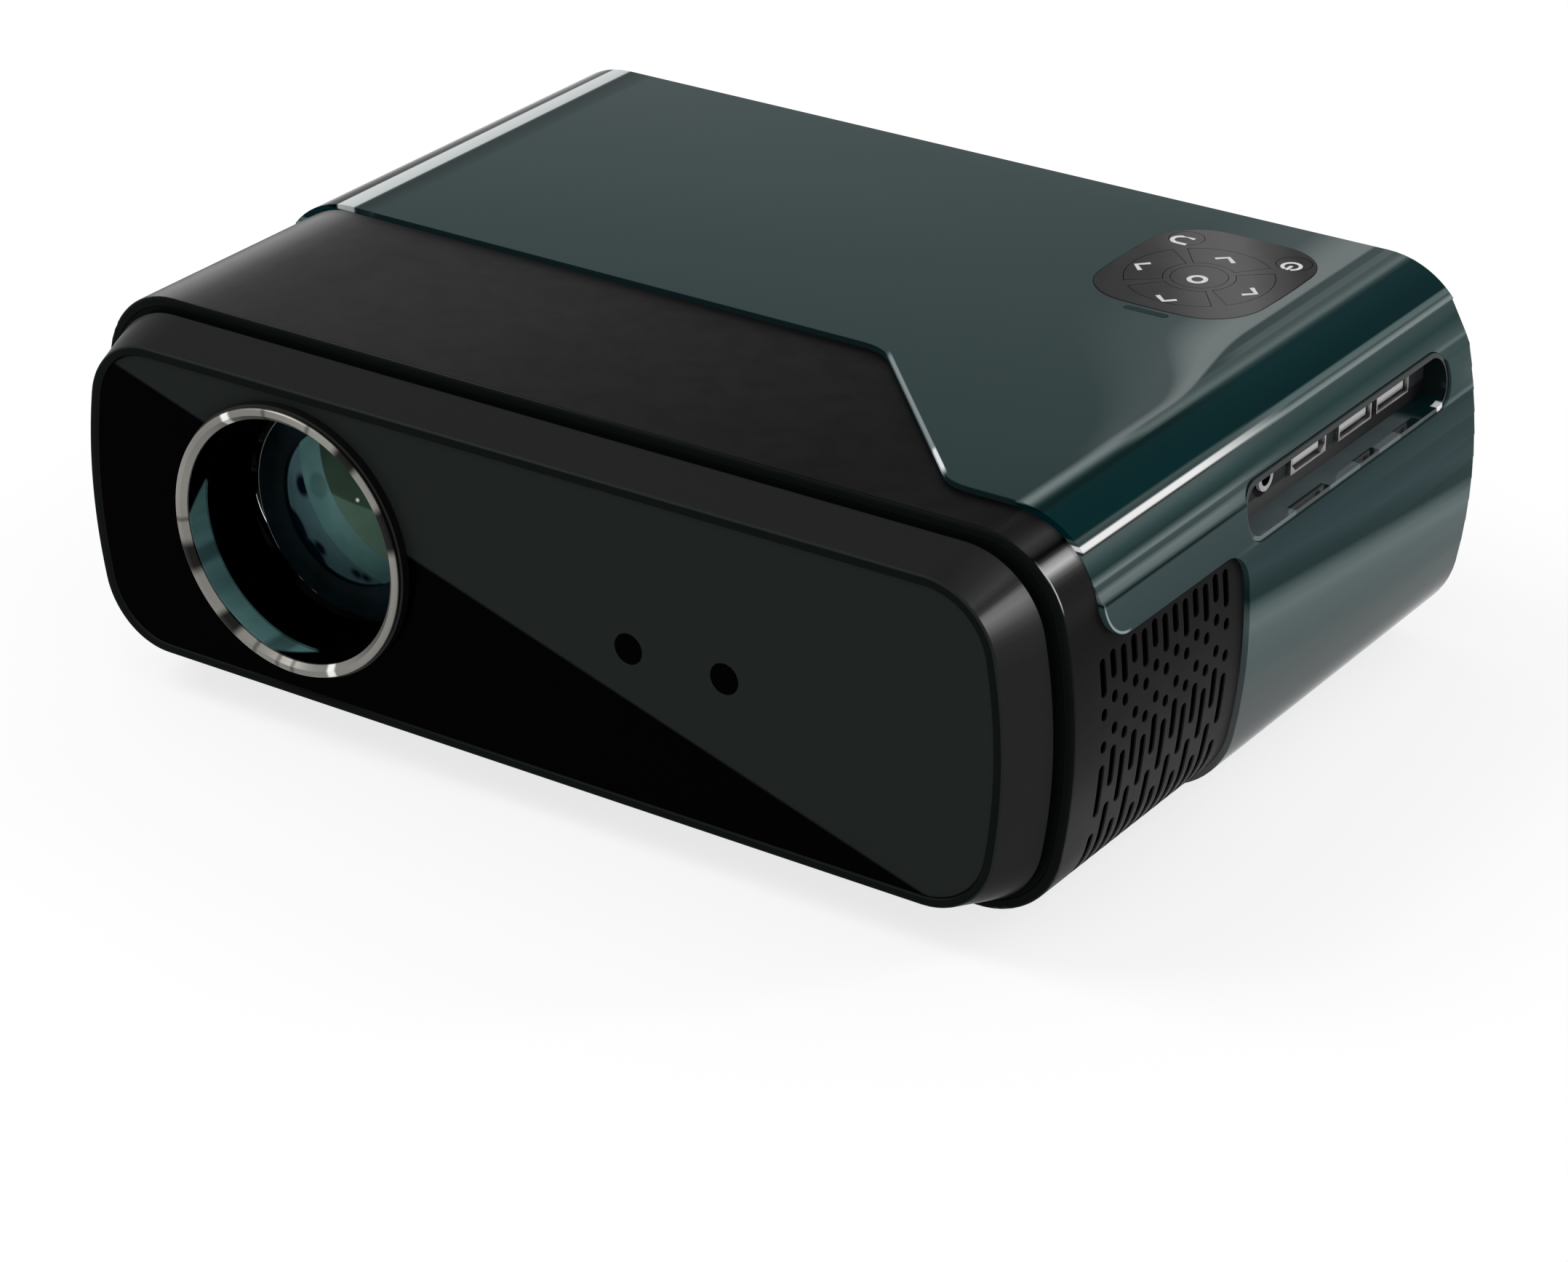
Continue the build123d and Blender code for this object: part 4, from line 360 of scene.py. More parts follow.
@dataclass(frozen=True)
class CoverPaint(Plastic):
    """Gloss teal of the wrap-around cover, with painted reflections, highlights and shade in long bands that follow
    its creases.
    """

    # Painted reflections, highlights and shade by height, towards the front: the white run from 82.5 to 83.25 is a
    # painted highlight below the crease, the dark teal above 84.6 a painted dark reflection on the shoulder, and the
    # pale run near 89.5 a painted highlight on the top's rounded edge.
    front: tuple[Stop, ...] = (
        (61, 57, 71, 73), (71.6, 66, 80, 81), (71.9, 40, 52, 52), (72.2, 24, 35, 35),
        (72.9, 100, 112, 112), (74, 112, 124, 124), (74.5, 92, 104, 104),
        (74.9, 64, 78, 78), (75.6, 70, 84, 84), (76, 120, 132, 132), (77, 65, 80, 80),
        (77.4, 42, 60, 58), (78.9, 56, 76, 77), (79.8, 70, 88, 88), (81.4, 92, 104, 104), (82, 45, 50, 50),
        (82.3, 60, 64, 64), (82.5, 252, 255, 255), (83.25, 252, 255, 255), (83.5, 56, 68, 68), (84.25, 72, 86, 86),
        (84.6, 0, 46, 48), (88.5, 0, 44, 46), (88.9, 0, 34, 34), (89.15, 24, 44, 44),
        (89.35, 62, 75, 75), (89.52, 108, 119, 119), (89.64, 108, 119, 119), (89.75, 72, 82, 82),
    )
    # The same painted reflections, highlights and shade by height, towards the rear, with a dimmer painted highlight
    # at the crease.
    rear: tuple[Stop, ...] = (
        (61, 48, 63, 65), (62.2, 46, 62, 64), (62.6, 52, 68, 70), (62.9, 92, 108, 110), (63.3, 92, 106, 108),
        (64, 60, 76, 76), (74, 66, 82, 82), (74.6, 102, 116, 116), (75.1, 80, 94, 94), (75.6, 72, 86, 86),
        (76.8, 61, 77, 77), (78.2, 47, 67, 67), (79.8, 58, 76, 76), (81, 66, 80, 80), (82, 92, 106, 106),
        (82.4, 130, 143, 143), (82.7, 118, 130, 130), (83.1, 66, 78, 78), (83.5, 94, 107, 107),
        (84.05, 84, 103, 103), (84.3, 0, 42, 44), (88.2, 0, 46, 48), (88.85, 8, 44, 46), (89.1, 48, 64, 64),
        (89.3, 88, 100, 100), (89.45, 88, 100, 100), (89.58, 62, 75, 75), (89.75, 66, 79, 79),
    )
    # Painted reflections on the lower side: pale and dark bands by height, leaning with depth.
    lower: tuple[Stop, ...] = (
        (16, 102, 106, 106), (24, 94, 99, 99), (30, 90, 98, 98), (36, 84, 96, 96), (42, 90, 102, 102),
        (45, 100, 112, 112), (47.5, 90, 102, 102), (49.5, 66, 81, 81), (51, 38, 54, 54), (53, 40, 57, 57),
        (57, 53, 69, 72), (61.5, 50, 65, 67),
    )
    # Painted highlight along the left top edge: a pale strip between darker painted reflections.
    left: tuple[Stop, ...] = (
        (-112, 20, 28, 28), (-108, 24, 28, 28), (-107, 30, 32, 32), (-106.6, 70, 72, 72),
        (-106.2, 205, 211, 211), (-101.9, 192, 197, 197), (-101.3, 62, 68, 68), (-100.5, 49, 58, 58),
        (-96, 58, 70, 70),
    )
    # Painted reflection on the flat top, a little paler towards the rear.
    crown: tuple[Stop, ...] = ((-64, 54, 67, 67), (-30, 58, 70, 70), (20, 61, 73, 73), (92, 65, 77, 77))
    # Tone of the pale painted highlight across the top.
    top_highlight_tone: Triple = (116, 123, 123)
    flap: Triple = (0, -0.0545, 0.0719)
    slant: Pair = (41, -14.6)
    light: float = 0.90
    sheen: float = 0.008
    crown_sheen: float = 0.022
    crown_light: float = 0.96

    def paint_top_highlight(self, sheet: NodeSheet, over: Socket) -> Socket:
        """Lay the broad pale highlight that is painted across the top over a colour.

        Args:
            sheet: Node tree to draw in.
            over: Colour that it lies on.

        Returns:
            Colour socket with the painted highlight.
        """
        x, y, z = sheet.spot()
        off = sheet.less(sheet.span(y, -8, 34, 105.6, 99.6), x)
        grow = sheet.span(y, -20, 28)
        narrow = sheet.line(sheet.times(grow, grow), 9, 1.6)
        wide = sheet.span(y, -34, 26, 4, 26)
        share = 0
        for weight, width in ((0.80, narrow), (0.20, wide)):
            fall = sheet.most(sheet.less(1.4, sheet.math("DIVIDE", off, width)), 0)
            share = sheet.line(sheet.math("MINIMUM", fall, 1), weight, share)
        # Thin painted highlight near the right edge of the top.
        thin = sheet.times(sheet.window(x, 102.4, 104.4, 0.9), sheet.span(y, 14, 30, 0, 0.30))
        share = sheet.most(sheet.times(share, sheet.span(off, -0.5, 0.5)), thin)
        soft = sheet.vary(sheet.noise(1, 2, stretch=(90, 10, 1)), 0.86, 1)
        share = sheet.times(share, sheet.span(y, -44, -24), sheet.span(z, 89.5, 89.64), soft)
        return sheet.blend(share, over, shown(*self.top_highlight_tone, self.crown_light, self.crown_sheen))

    def front_edge(self, sheet: NodeSheet, over: Socket) -> Socket:
        """Paint shade on the cover's stepped front wall, a highlight on its slanting crest and a highlight line
        round the flap's lower front corner.

        Args:
            sheet: Node tree to draw in.
            over: Colour that it lies on.

        Returns:
            Colour socket with the painted shade and highlights.
        """
        x, y, z = sheet.spot()
        # Painted shade on the front wall of the step.
        wall = sheet.times(sheet.span(z, 88, 88.3), sheet.span(z, 89.62, 89.76, 1, 0))
        wall = sheet.times(wall, sheet.window(x, -96, 103.5, 1))
        # Painted highlight along the slanting crest of the step, brightest towards its front end.
        along = sheet.line(sheet.less(y, self.slant[1]), 0.697, -0.717 * self.slant[0])
        crest = sheet.window(sheet.line(x, 0.717, along), -0.4, 0.75, 0.3)
        crest = sheet.times(crest, sheet.span(z, 89, 89.15), sheet.window(x, 44, 84.5, 3))
        pale = sheet.blend(sheet.span(x, 76.5, 78), shown(116, 126, 128), shown(205, 210, 214))
        # Painted highlight line round the flap's lower front corner.
        _, front, low = (sheet.span(part, 1, -1.5) for part in sheet.spot(self.flap))
        bend = sheet.window(sheet.reach(ABOUT_X, self.flap), 7.35, 7.85, 0.2)
        foot = sheet.times(front, low, sheet.span(x, 100, 105), bend)
        return sheet.layers(over, (wall, shown(18, 33, 35, 0.7)), (crest, pale), (foot, shown(138, 152, 153)))

    def shade(self, sheet: NodeSheet) -> Socket:
        """Base colour from the place on the cover, with its painted reflections, highlights and shade.

        Args:
            sheet: Node tree to draw in.

        Returns:
            Colour socket.
        """
        x, y, z = sheet.spot()
        crest = sheet.times(sheet.span(y, -32, -16), sheet.span(z, 89, 89.1))
        behind = sheet.most(sheet.span(y, -22, 22), sheet.span(x, 10, -10), crest)
        front, rear = (sheet.ramp(z, row, self.light, self.sheen) for row in (self.front, self.rear))
        side = sheet.ramp(sheet.line(y, 0.1, z), self.lower, 0.82, self.sheen * 1.4)
        crown = sheet.ramp(y, self.crown, self.crown_light, self.crown_sheen)
        bands = (sheet.span(z, 60.4, 61.4), sheet.blend(behind, front, rear))
        whole = sheet.layers(side, bands, (sheet.span(z, 89.70, 89.77), crown))
        # Painted highlight strip along the left top edge.
        edge = sheet.ramp(sheet.line(y, 0.008, x), self.left, self.crown_light, self.crown_sheen)
        beside = sheet.times(sheet.span(z, 88.2, 88.8), sheet.span(x, -95, -97))
        return self.paint_top_highlight(sheet, sheet.blend(beside, self.front_edge(sheet, whole), edge))


@dataclass(frozen=True)
class SatinShell(Plastic):
    """Satin black of the shell, with painted highlights where its long corners roll and painted shade in its side
    slots and on its front face behind the bezel.
    """

    # Painted highlights by height on the right side; the pale run from 81 to 83 is a painted highlight on the rolled
    # corner.
    right: tuple[Stop, ...] = greys(
        (20, 62), (30, 58), (40, 46), (50, 41), (60, 38), (66, 36), (70, 37), (74, 44), (78, 40), (79.2, 44),
        (80.2, 64), (81, 108), (82, 186), (83, 146), (83.6, 60), (84, 16), (84.5, 20), (85.1, 47), (86, 60),
        (87, 42), (87.5, 36), (88.4, 37),
    )
    # Painted highlight by height along the left corner.
    left: tuple[Stop, ...] = greys((60, 46), (83, 78), (86.5, 86), (87.2, 110), (87.8, 125), (88.4, 115))
    # Painted highlight across the top, palest at the left corner.
    top: tuple[Stop, ...] = greys(
        (-105, 115), (-104, 113), (-102, 96), (-100, 80), (-98, 71), (-95, 62), (-90, 57), (-80, 52), (-60, 50),
        (0, 42), (60, 36), (105, 37),
    )
    middle: float = 46.4
    bulge: Triple = (-3, 0, 128)
    roll: Triple = (102.74, 22, 20)
    seam: Pair = (25.9, 26.1)
    skin: Pair = (0.30, 0.45)
    side: Pair = (99, 101)
    reach: Pair = (-70, 70)
    sheen: float = 0.010

    def inside(self, sheet: NodeSheet) -> Socket:
        """Mask of the walls of the side slots, where shade is painted: one below the outer skin and nought on it.

        Args:
            sheet: Node tree to draw in.

        Returns:
            Value socket of the mask.
        """
        x, y, z = sheet.spot((0, 0, self.middle * MM))
        across, rise = sheet.math("ABSOLUTE", x), sheet.math("ABSOLUTE", z)
        depths = []
        for centre_x, centre_z, radius in (self.bulge, self.roll):
            flat, tall = sheet.less(across, centre_x), sheet.less(rise, centre_z)
            square = sheet.line(flat, flat, sheet.times(tall, tall))
            depths.append(sheet.less(radius, sheet.math("SQRT", square)))
        depth = sheet.line(sheet.span(rise, *self.seam), sheet.less(depths[1], depths[0]), depths[0])
        deep = sheet.times(sheet.span(depth, *self.skin), sheet.span(across, *self.side))
        return sheet.times(deep, sheet.window(y, *self.reach, 1))

    def shade(self, sheet: NodeSheet) -> Socket:
        """Base colour from the place on the shell, with its painted highlights and shade.

        Args:
            sheet: Node tree to draw in.

        Returns:
            Colour socket.
        """
        x, y, z = sheet.spot()
        left = sheet.ramp(z, self.left, 0.90, self.sheen)
        right = sheet.ramp(z, self.right, 0.84, self.sheen)
        # Painted highlight: a thin glint on the shell's front rim.
        glint = sheet.times(sheet.window(y, -73.95, -73.65, 0.1), sheet.window(z, 75.5, 83, 3))
        dark, pale = (shown(tone, tone, tone, 0.85, self.sheen) for tone in (34, 42))
        return sheet.layers(
            sheet.blend(sheet.span(x, -20, 20), left, right),
            (sheet.span(z, 88.15, 88.35), sheet.ramp(x, self.top, 0.96, self.sheen * 1.5)),
            (sheet.times(glint, sheet.span(x, 90, 95)), shown(176, 178, 178)),
            # Painted shade on the walls of the side slots.
            (self.inside(sheet), shown(2, 2, 2)),
            (sheet.span(y, 84, 87), sheet.blend(sheet.noise(35), dark, pale)),
            # Painted shade on the front face, in the groove behind the bezel.
            (sheet.span(y, -74.15, -74, 1, 0), shown(12, 16, 15)),
        )


@dataclass(frozen=True)
class BezelGloss(Plastic):
    """Soft gloss black of the bezel, with a painted highlight across its right upper corner."""

    corner: Triple = (0.1026, 0, 0.0668)
    # Painted highlight by the turn about the right upper corner, in degrees from the side up to the top.
    corner_highlight: tuple[Stop, ...] = greys(
        (0, 42), (12, 46), (18, 48), (24, 56), (30, 73), (36, 100), (42, 121), (47, 113), (51, 60), (54, 49),
        (60, 62), (66, 52), (72, 45), (80, 40), (90, 36),
    )
    sheen: float = 0.003

    def shade(self, sheet: NodeSheet) -> Socket:
        """Base colour from the turn about the corner and the depth, with painted highlights and shade.

        Args:
            sheet: Node tree to draw in.

        Returns:
            Colour socket.
        """
        x, y, z = sheet.spot(self.corner)
        turn = sheet.angle(sheet.most(z, 0), sheet.most(x, 0))
        return sheet.layers(
            sheet.ramp(turn, self.corner_highlight, 0.88, self.sheen),
            # Painted highlight on the left end.
            (sheet.span(x, -198, -215), shown(50, 50, 50, 0.9, self.sheen)),
            # Painted highlight on the front rounding.
            (sheet.span(y, -87.95, -88.1), shown(33, 37, 36)),
            # Painted shade on the front flat.
            (sheet.span(y, -88.42, -88.47), shown(13, 17, 16)),
            # Painted shade in the groove behind the bezel.
            (sheet.span(y, -76.75, -76.6), shown(10, 14, 13)),
        )


@dataclass(frozen=True)
class GradedPlastic(Plastic):
    """Plastic whose tone runs along one axis."""

    axis_name: str = "X"
    lean: float = 0
    row: tuple[Stop, ...] = greys((0, 40), (1, 60))
    light: float = 0.95
    sheen: float = 0.02

    def shade(self, sheet: NodeSheet) -> Socket:
        """Base colour from the place along the axis."""
        place = dict(zip("XYZ", sheet.spot()))
        return sheet.ramp(sheet.line(place["Y"], self.lean, place[self.axis_name]), self.row, self.light, self.sheen)


@dataclass(frozen=True)
class AcrylicWithPaintedReflection(Plastic):
    """Black acrylic front plate with a painted reflection: pale above a straight diagonal and black below it."""

    lower: Triple = (0.0002, 0.0002, 0.0002)
    start: Pair = (-108.4, 76.9)
    end: Pair = (100.3, 12.2)
    edge: float = 0.5

    def shade(self, sheet: NodeSheet) -> Socket:
        """Colour on each side of the diagonal, the pale upper side a painted reflection.

        Args:
            sheet: Node tree to draw in.

        Returns:
            Colour socket.
        """
        x, _, z = sheet.spot()
        slope = (self.end[1] - self.start[1]) / (self.end[0] - self.start[0])
        above = sheet.less(z, sheet.line(x, slope, self.start[1] - slope * self.start[0]))
        # Pale painted reflection above the diagonal, varying softly.
        upper = sheet.blend(sheet.noise(6, 2), tint(self.colour, 0.86), tint(self.colour, 1.16))
        return sheet.blend(sheet.span(above, -self.edge, self.edge), self.lower, upper)


@dataclass(frozen=True)
class Metal:
    """Metal with fine lines along one direction."""

    name: str
    colour: Triple
    roughness: float
    line_scale: Triple = (1, 60, 1)
    line_count: float = 60
    contrast: float = 0.25
    relief: float = 0.1

    def build(self) -> Material:
        """Make the material.

        Returns:
            The material.
        """
        sheet = FinishSheet(self.name)
        lines = sheet.noise(self.line_count, 4, 0.7, self.line_scale)
        sheet.relief(lines, self.relief, 0.00002)
        dark, pale = tint(self.colour, 1 - self.contrast), tint(self.colour, 1 + self.contrast)
        rough = sheet.span(lines, 0.2, 0.8, self.roughness * 0.8, self.roughness * 1.25)
        return sheet.surface({
            "Metallic": 1, "Base Color": sheet.blend(sheet.vary(lines), dark, pale), "Roughness": rough,
        })


@dataclass(frozen=True)
class LensFinish(Surface):
    """Surface of a piece round the lens axis, its tones given in one light."""

    light: float = 0.9

    def tones(self, *rows: Triple) -> tuple[Triple, ...]:
        """Base colours of display tones in the piece's light."""
        return tuple(shown(*row, self.light) for row in rows)


@dataclass(frozen=True)
class TurnedChrome(LensFinish):
    """Bright trim round the lens axis, with dark painted reflections in short and tiny runs, painted glints, and a
    dark painted reflection on the side behind its front step.
    """

    roughness: float = 0.30
    specular: float = 0.2
    wear: Pair = (0.9, 1.1)
    wear_noise: tuple[object, ...] = (26, 1)
    more: tuple[tuple[str, float], ...] = (("Metallic", 0.6),)
    # Tones of the plain trim, of its dark painted reflections, of the painted reflection on its side and of its
    # painted glints.
    pale: Triple = (128, 126, 121)
    dark: Triple = (22, 21, 20)
    side: Triple = (26, 26, 25)
    glint: Triple = (0.95, 0.95, 0.93)
    # Angles in degrees of the dark painted reflections and of the painted glints.
    reflected_dashes: tuple[Pair, ...] = ((12, 29), (48, 60), (193, 206), (228, 240))
    reflected_specks: tuple[float, ...] = (74, 97, 183.5, 249.5, 262, 270)
    glints: tuple[float, ...] = (119, 292)
    reflected_speck_half: float = 1
    glint_half: float = 2.2
    wander: float = 8
    step: Pair = (-91.05, -90.75)
    rim: Pair = (30.2, 30.4)

    def shade(self, sheet: NodeSheet) -> Socket:
        """Base colour from the turn about the lens axis, with its painted reflections and glints.

        Args:
            sheet: Node tree to draw in.

        Returns:
            Colour socket.
        """
        angle, away = sheet.turn_about(LENS_CENTRE)
        spread = sheet.line(sheet.noise(60, 1), self.wander, angle)
        plain, dark, side = self.tones(self.pale, self.dark, self.side)
        mean, small, wide = self.wander / 2, self.reflected_speck_half, self.glint_half
        marks = [(sheet.window(spread, low + mean, high + mean, 5), dark) for low, high in self.reflected_dashes]
        marks += [(sheet.times(sheet.window(angle, at - small, at + small, 2), 0.6), dark) for at in self.reflected_specks]
        marks += [(sheet.window(angle, at - wide, at + wide, 2), self.glint) for at in self.glints]
        # Dark painted reflection on the outer side behind the front step.
        behind = sheet.span(sheet.spot()[1], *self.step)
        marks.append((sheet.times(behind, sheet.span(away, *self.rim)), side))
        around = sheet.vary(sheet.noise(*self.wear_noise))
        return sheet.layers(sheet.blend(around, tint(plain, 0.84), tint(plain, 1.20)), *marks)


@dataclass(frozen=True)
class ClearGlass(Surface):
    """Clear optical glass with a faint tint."""

    roughness: float = 0.02
    mottle: Pair = (0.94, 1.05)
    mottle_noise: Pair = (220, 3)
    wear: Pair = (1, 2)
    wear_noise: tuple[object, ...] = (220, 3)
    more: tuple[tuple[str, float], ...] = (("Transmission Weight", 0.92), ("IOR", 1.5))


@dataclass(frozen=True)
class LensWithPaintedReflections(LensFinish):
    """Front glass with painted reflections: a broad teal band, a bluish edge, an olive heart and a small white
    painted highlight.

    Places are shares of the glass's radius from its centre, to the right and upwards.
    """

    roughness: float = 0.03
    specular: float = 0.02
    wear: Pair = (1, 2)
    wear_noise: tuple[object, ...] = (300, 2)
    radius: float = 18.7
    light: float = 0.30
    band: Triple = (1.87, 1.45, 2.73)
    heart: Triple = (2.62, 2.06, 3.28)
    rim: Triple = (0, 0, 0.95)
    # Darker painted reflections inside the bluish edge.
    reflection_blots: tuple[Triple, ...] = (
        (-0.61, 0.17, 0.13), (-0.90, -0.50, 0.26), (-0.66, -0.78, 0.24), (-0.43, -0.60, 0.10), (0.08, -0.80, 0.07),
        (0.20, -0.83, 0.06),
    )
    quad: Triple = (-0.32, 0.26, 0.15)
    # Small white painted highlight.
    dot: Triple = (0.27, 0.24, 0.02)

    def ball(self, sheet: NodeSheet, disc: Triple, soft: float) -> Socket:
        """Soft-edged disc, one inside and nought outside.

        Args:
            sheet: Node tree to draw in.
            disc: Centre's two offsets and the radius.
            soft: Width of the soft edge.

        Returns:
            Value socket of the disc.
        """
        unit = 1000 / self.radius
        inputs = {0: sheet.place((unit, 0, unit), LENS_CENTRE), 1: (disc[0], 0, disc[1])}
        away = sheet.out("ShaderNodeVectorMath", inputs, "Value", operation="DISTANCE")
        return sheet.span(away, disc[2] - soft / 2, disc[2] + soft / 2, 1, 0)

    def falling(self, sheet: NodeSheet, top: Triple, foot: Triple) -> Socket:
        """Colour that runs from a top tone to a foot tone down the glass."""
        share = sheet.span(sheet.spot(LENS_CENTRE)[2], -0.9 * self.radius, 0.7 * self.radius)
        return sheet.blend(share, *self.tones(foot, top))

    def shade(self, sheet: NodeSheet) -> Socket:
        """Base colour from the place on the glass, where every tone is painted reflection.

        Args:
            sheet: Node tree to draw in.

        Returns:
            Colour socket.
        """
        # Tones of the painted reflections; the white one is a painted highlight.
        dark, pale, olive, white = self.tones((1, 6, 12), (41, 63, 61), (27, 40, 32), (175, 205, 185))
        blue = self.falling(sheet, (50, 70, 74), (30, 45, 47))
        teal = self.falling(sheet, (54, 80, 79), (36, 56, 54))
        moss = self.falling(sheet, (46, 64, 54), (42, 58, 50))
        reflection_blots = sheet.most(*(self.ball(sheet, blot, 0.10) for blot in self.reflection_blots))
        x, _, z = sheet.spot(LENS_CENTRE)
        split = sheet.span(sheet.line(x, 0.15, z), 0.20 * self.radius, 0.24 * self.radius)
        return sheet.layers(
            dark,
            (self.ball(sheet, self.rim, 0.04), sheet.blend(reflection_blots, blue, dark)),
            (self.ball(sheet, self.band, 0.03), sheet.blend(self.ball(sheet, self.quad, 0.08), teal, pale)),
            (self.ball(sheet, self.heart, 0.03), sheet.blend(split, moss, olive)),
            (self.ball(sheet, self.dot, 0.03), white),
            (sheet.vary(sheet.noise(140), 0, 0.18), dark),
        )


@dataclass(frozen=True)
class HoodGloss(LensFinish):
    """Black hood whose front wall carries a painted teal reflection low on the left, with darker painted bands in
    it.
    """

    roughness: float = 0.20
    specular: float = 0.01
    wear: Pair = (1, 1.4)
    wear_noise: tuple[object, ...] = (120, 3, 0.55, (1, 0.2, 1))
    front: float = -89.9
    depth: float = 5.2
    darker_reflection_bands: tuple[Pair, ...] = ((198, 206), (252, 262))
    light: float = 0.42

    def shade(self, sheet: NodeSheet) -> Socket:
        """Base colour from the turn and the depth, with the painted teal reflection.

        Args:
            sheet: Node tree to draw in.

        Returns:
            Colour socket.
        """
        angle, _ = sheet.turn_about(LENS_CENTRE)
        inward = sheet.times(sheet.less(sheet.spot()[1], self.front), 1 / self.depth)
        head = sheet.span(sheet.line(inward, 13, angle), 180, 183)
        foot = sheet.span(sheet.line(inward, -15, angle), 256, 260, 1, 0)
        reflection_patches = sheet.vary(sheet.noise(*self.wear_noise))
        # Tones of the painted teal reflection and of its darker bands.
        dim, teal, dark = self.tones((50, 74, 75), (64, 94, 93), (28, 42, 45))
        darker_reflection_bands = ((sheet.times(sheet.window(angle, low, high, 4), 0.7), dark) for low, high in self.darker_reflection_bands)
        tone = sheet.layers(sheet.blend(reflection_patches, dim, teal), *darker_reflection_bands)
        share = sheet.times(sheet.window(inward, -0.2, 1, 0.02), head, foot)
        return sheet.blend(share, (0.0003, 0.0003, 0.0004), tone)


@dataclass(frozen=True)
class BarrelGloss(LensFinish):
    """Near-black barrel with a fine painted highlight line along part of its front edge."""

    roughness: float = 0.30
    specular: float = 0.02
    wear: Pair = (1, 1.4)
    wear_noise: tuple[object, ...] = (70, 3)
    edge: float = 24.32
    front: float = -71
    # Angles in degrees of the painted highlight line.
    arcs: tuple[Pair, ...] = ((130, 216), (233.5, 236.5), (243.5, 246.5))
    light: float = 0.25

    def shade(self, sheet: NodeSheet) -> Socket:
        """Base colour from the turn and the depth, with the painted highlight line.

        Args:
            sheet: Node tree to draw in.

        Returns:
            Colour socket.
        """
        angle, away = sheet.turn_about(LENS_CENTRE)
        black, blue, grey = self.tones((1, 3, 3), (4, 9, 12), (66, 68, 68))
        lit = sheet.most(*(sheet.window(angle, low, high, 2) for low, high in self.arcs))
        ahead = sheet.span(sheet.spot()[1], self.front + 0.12, self.front + 0.25, 1, 0)
        line = sheet.times(ahead, lit, sheet.span(away, self.edge - 0.02, self.edge))
        fade = sheet.vary(sheet.noise(*self.wear_noise))
        return sheet.layers(sheet.blend(fade, black, blue), (line, grey))


@dataclass(frozen=True)
class PortFace(Plastic):
    """Port plate with painted shade: darker among the sockets under the bay's upper lip and darker to the rear,
    paler below them, with a dark ring round the jack.
    """

    # Painted shade along the plate, darker towards the rear.
    row: tuple[Stop, ...] = greys((-8, 60), (20, 56), (40, 48), (55, 33), (78, 17))
    light: float = 0.55

    def shade(self, sheet: NodeSheet) -> Socket:
        """Base colour from the place on the plate, with its painted shade.

        Args:
            sheet: Node tree to draw in.

        Returns:
            Colour socket.
        """
        _, y, z = sheet.spot()
        return sheet.layers(
            sheet.ramp(y, self.row, self.light),
            # Painted shade above 67, among the sockets, under the bay's upper lip.
            (sheet.span(z, 66.7, 67.3), shown(34, 37, 38, self.light)),
            (sheet.span(sheet.reach(ABOUT_X, JACK_CENTRE), 4.2, 4.6, 1, 0), shown(12, 13, 14)),
        )


@dataclass(frozen=True)
class JackFace(Plastic):
    """Audio jack with a pale nose round its dark bore."""

    front: Pair = (118.5, 118.7)
    ring: Pair = (1.85, 3.1)

    def shade(self, sheet: NodeSheet) -> Socket:
        """Base colour from the distance to the jack's axis.

        Args:
            sheet: Node tree to draw in.

        Returns:
            Colour socket.
        """
        ring = sheet.window(sheet.reach(ABOUT_X, JACK_CENTRE), *self.ring, 0.1)
        dark, pale = (shown(tone, tone, tone, 0.6) for tone in (118, 178))
        nose = sheet.times(ring, sheet.span(sheet.spot()[0], *self.front))
        return sheet.blend(nose, shown(8, 8, 8), sheet.blend(sheet.noise(400), dark, pale))


@dataclass(frozen=True)
class LedgeGloss(Plastic):
    """Gloss liner of the port bay, with painted shade above and to the rear, a pale painted reflection on its lower
    ledge, dark painted reflections of the sockets on it, and a painted glint.
    """

    # Depths of the dark painted reflections of the sockets on the ledge.
    reflected_dashes: tuple[Pair, ...] = ((12.5, 27), (40, 48.5), (58, 67))
    light: float = 0.62

    def shade(self, sheet: NodeSheet) -> Socket:
        """Base colour from the place on the liner, with its painted reflections, shade and glint.

        Args:
            sheet: Node tree to draw in.

        Returns:
            Colour socket.
        """
        x, y, z = sheet.spot()
        # Tones of the pale painted reflection, the dark painted reflections of the sockets and the painted shade to
        # the rear and above.
        dim, pale, mark, rear, above = (
            shown(*tone, self.light)
            for tone in ((60, 70, 72), (78, 88, 90), (8, 20, 22), (5, 26, 28), (14, 22, 23))
        )
        marks = sheet.most(*(sheet.window(y, low, high, 0.6) for low, high in self.reflected_dashes))
        return sheet.layers(
            # Pale painted reflection on the ledge.
            sheet.blend(sheet.noise(90), dim, pale),
            # Dark painted reflections of the sockets.
            (sheet.times(marks, sheet.window(x, 122.6, 124.9, 0.4)), mark),
            # Painted shade towards the rear.
            (sheet.span(y, 64, 69), rear),
            # Painted glint at the rear of the lower lip.
            (sheet.times(sheet.window(y, 74.4, 76.8, 0.6), sheet.span(x, 123, 123.3)), (0.98, 0.98, 0.98)),
            # Painted shade above the ledge.
            (sheet.span(z, 64.2, 64.6), above),
        )


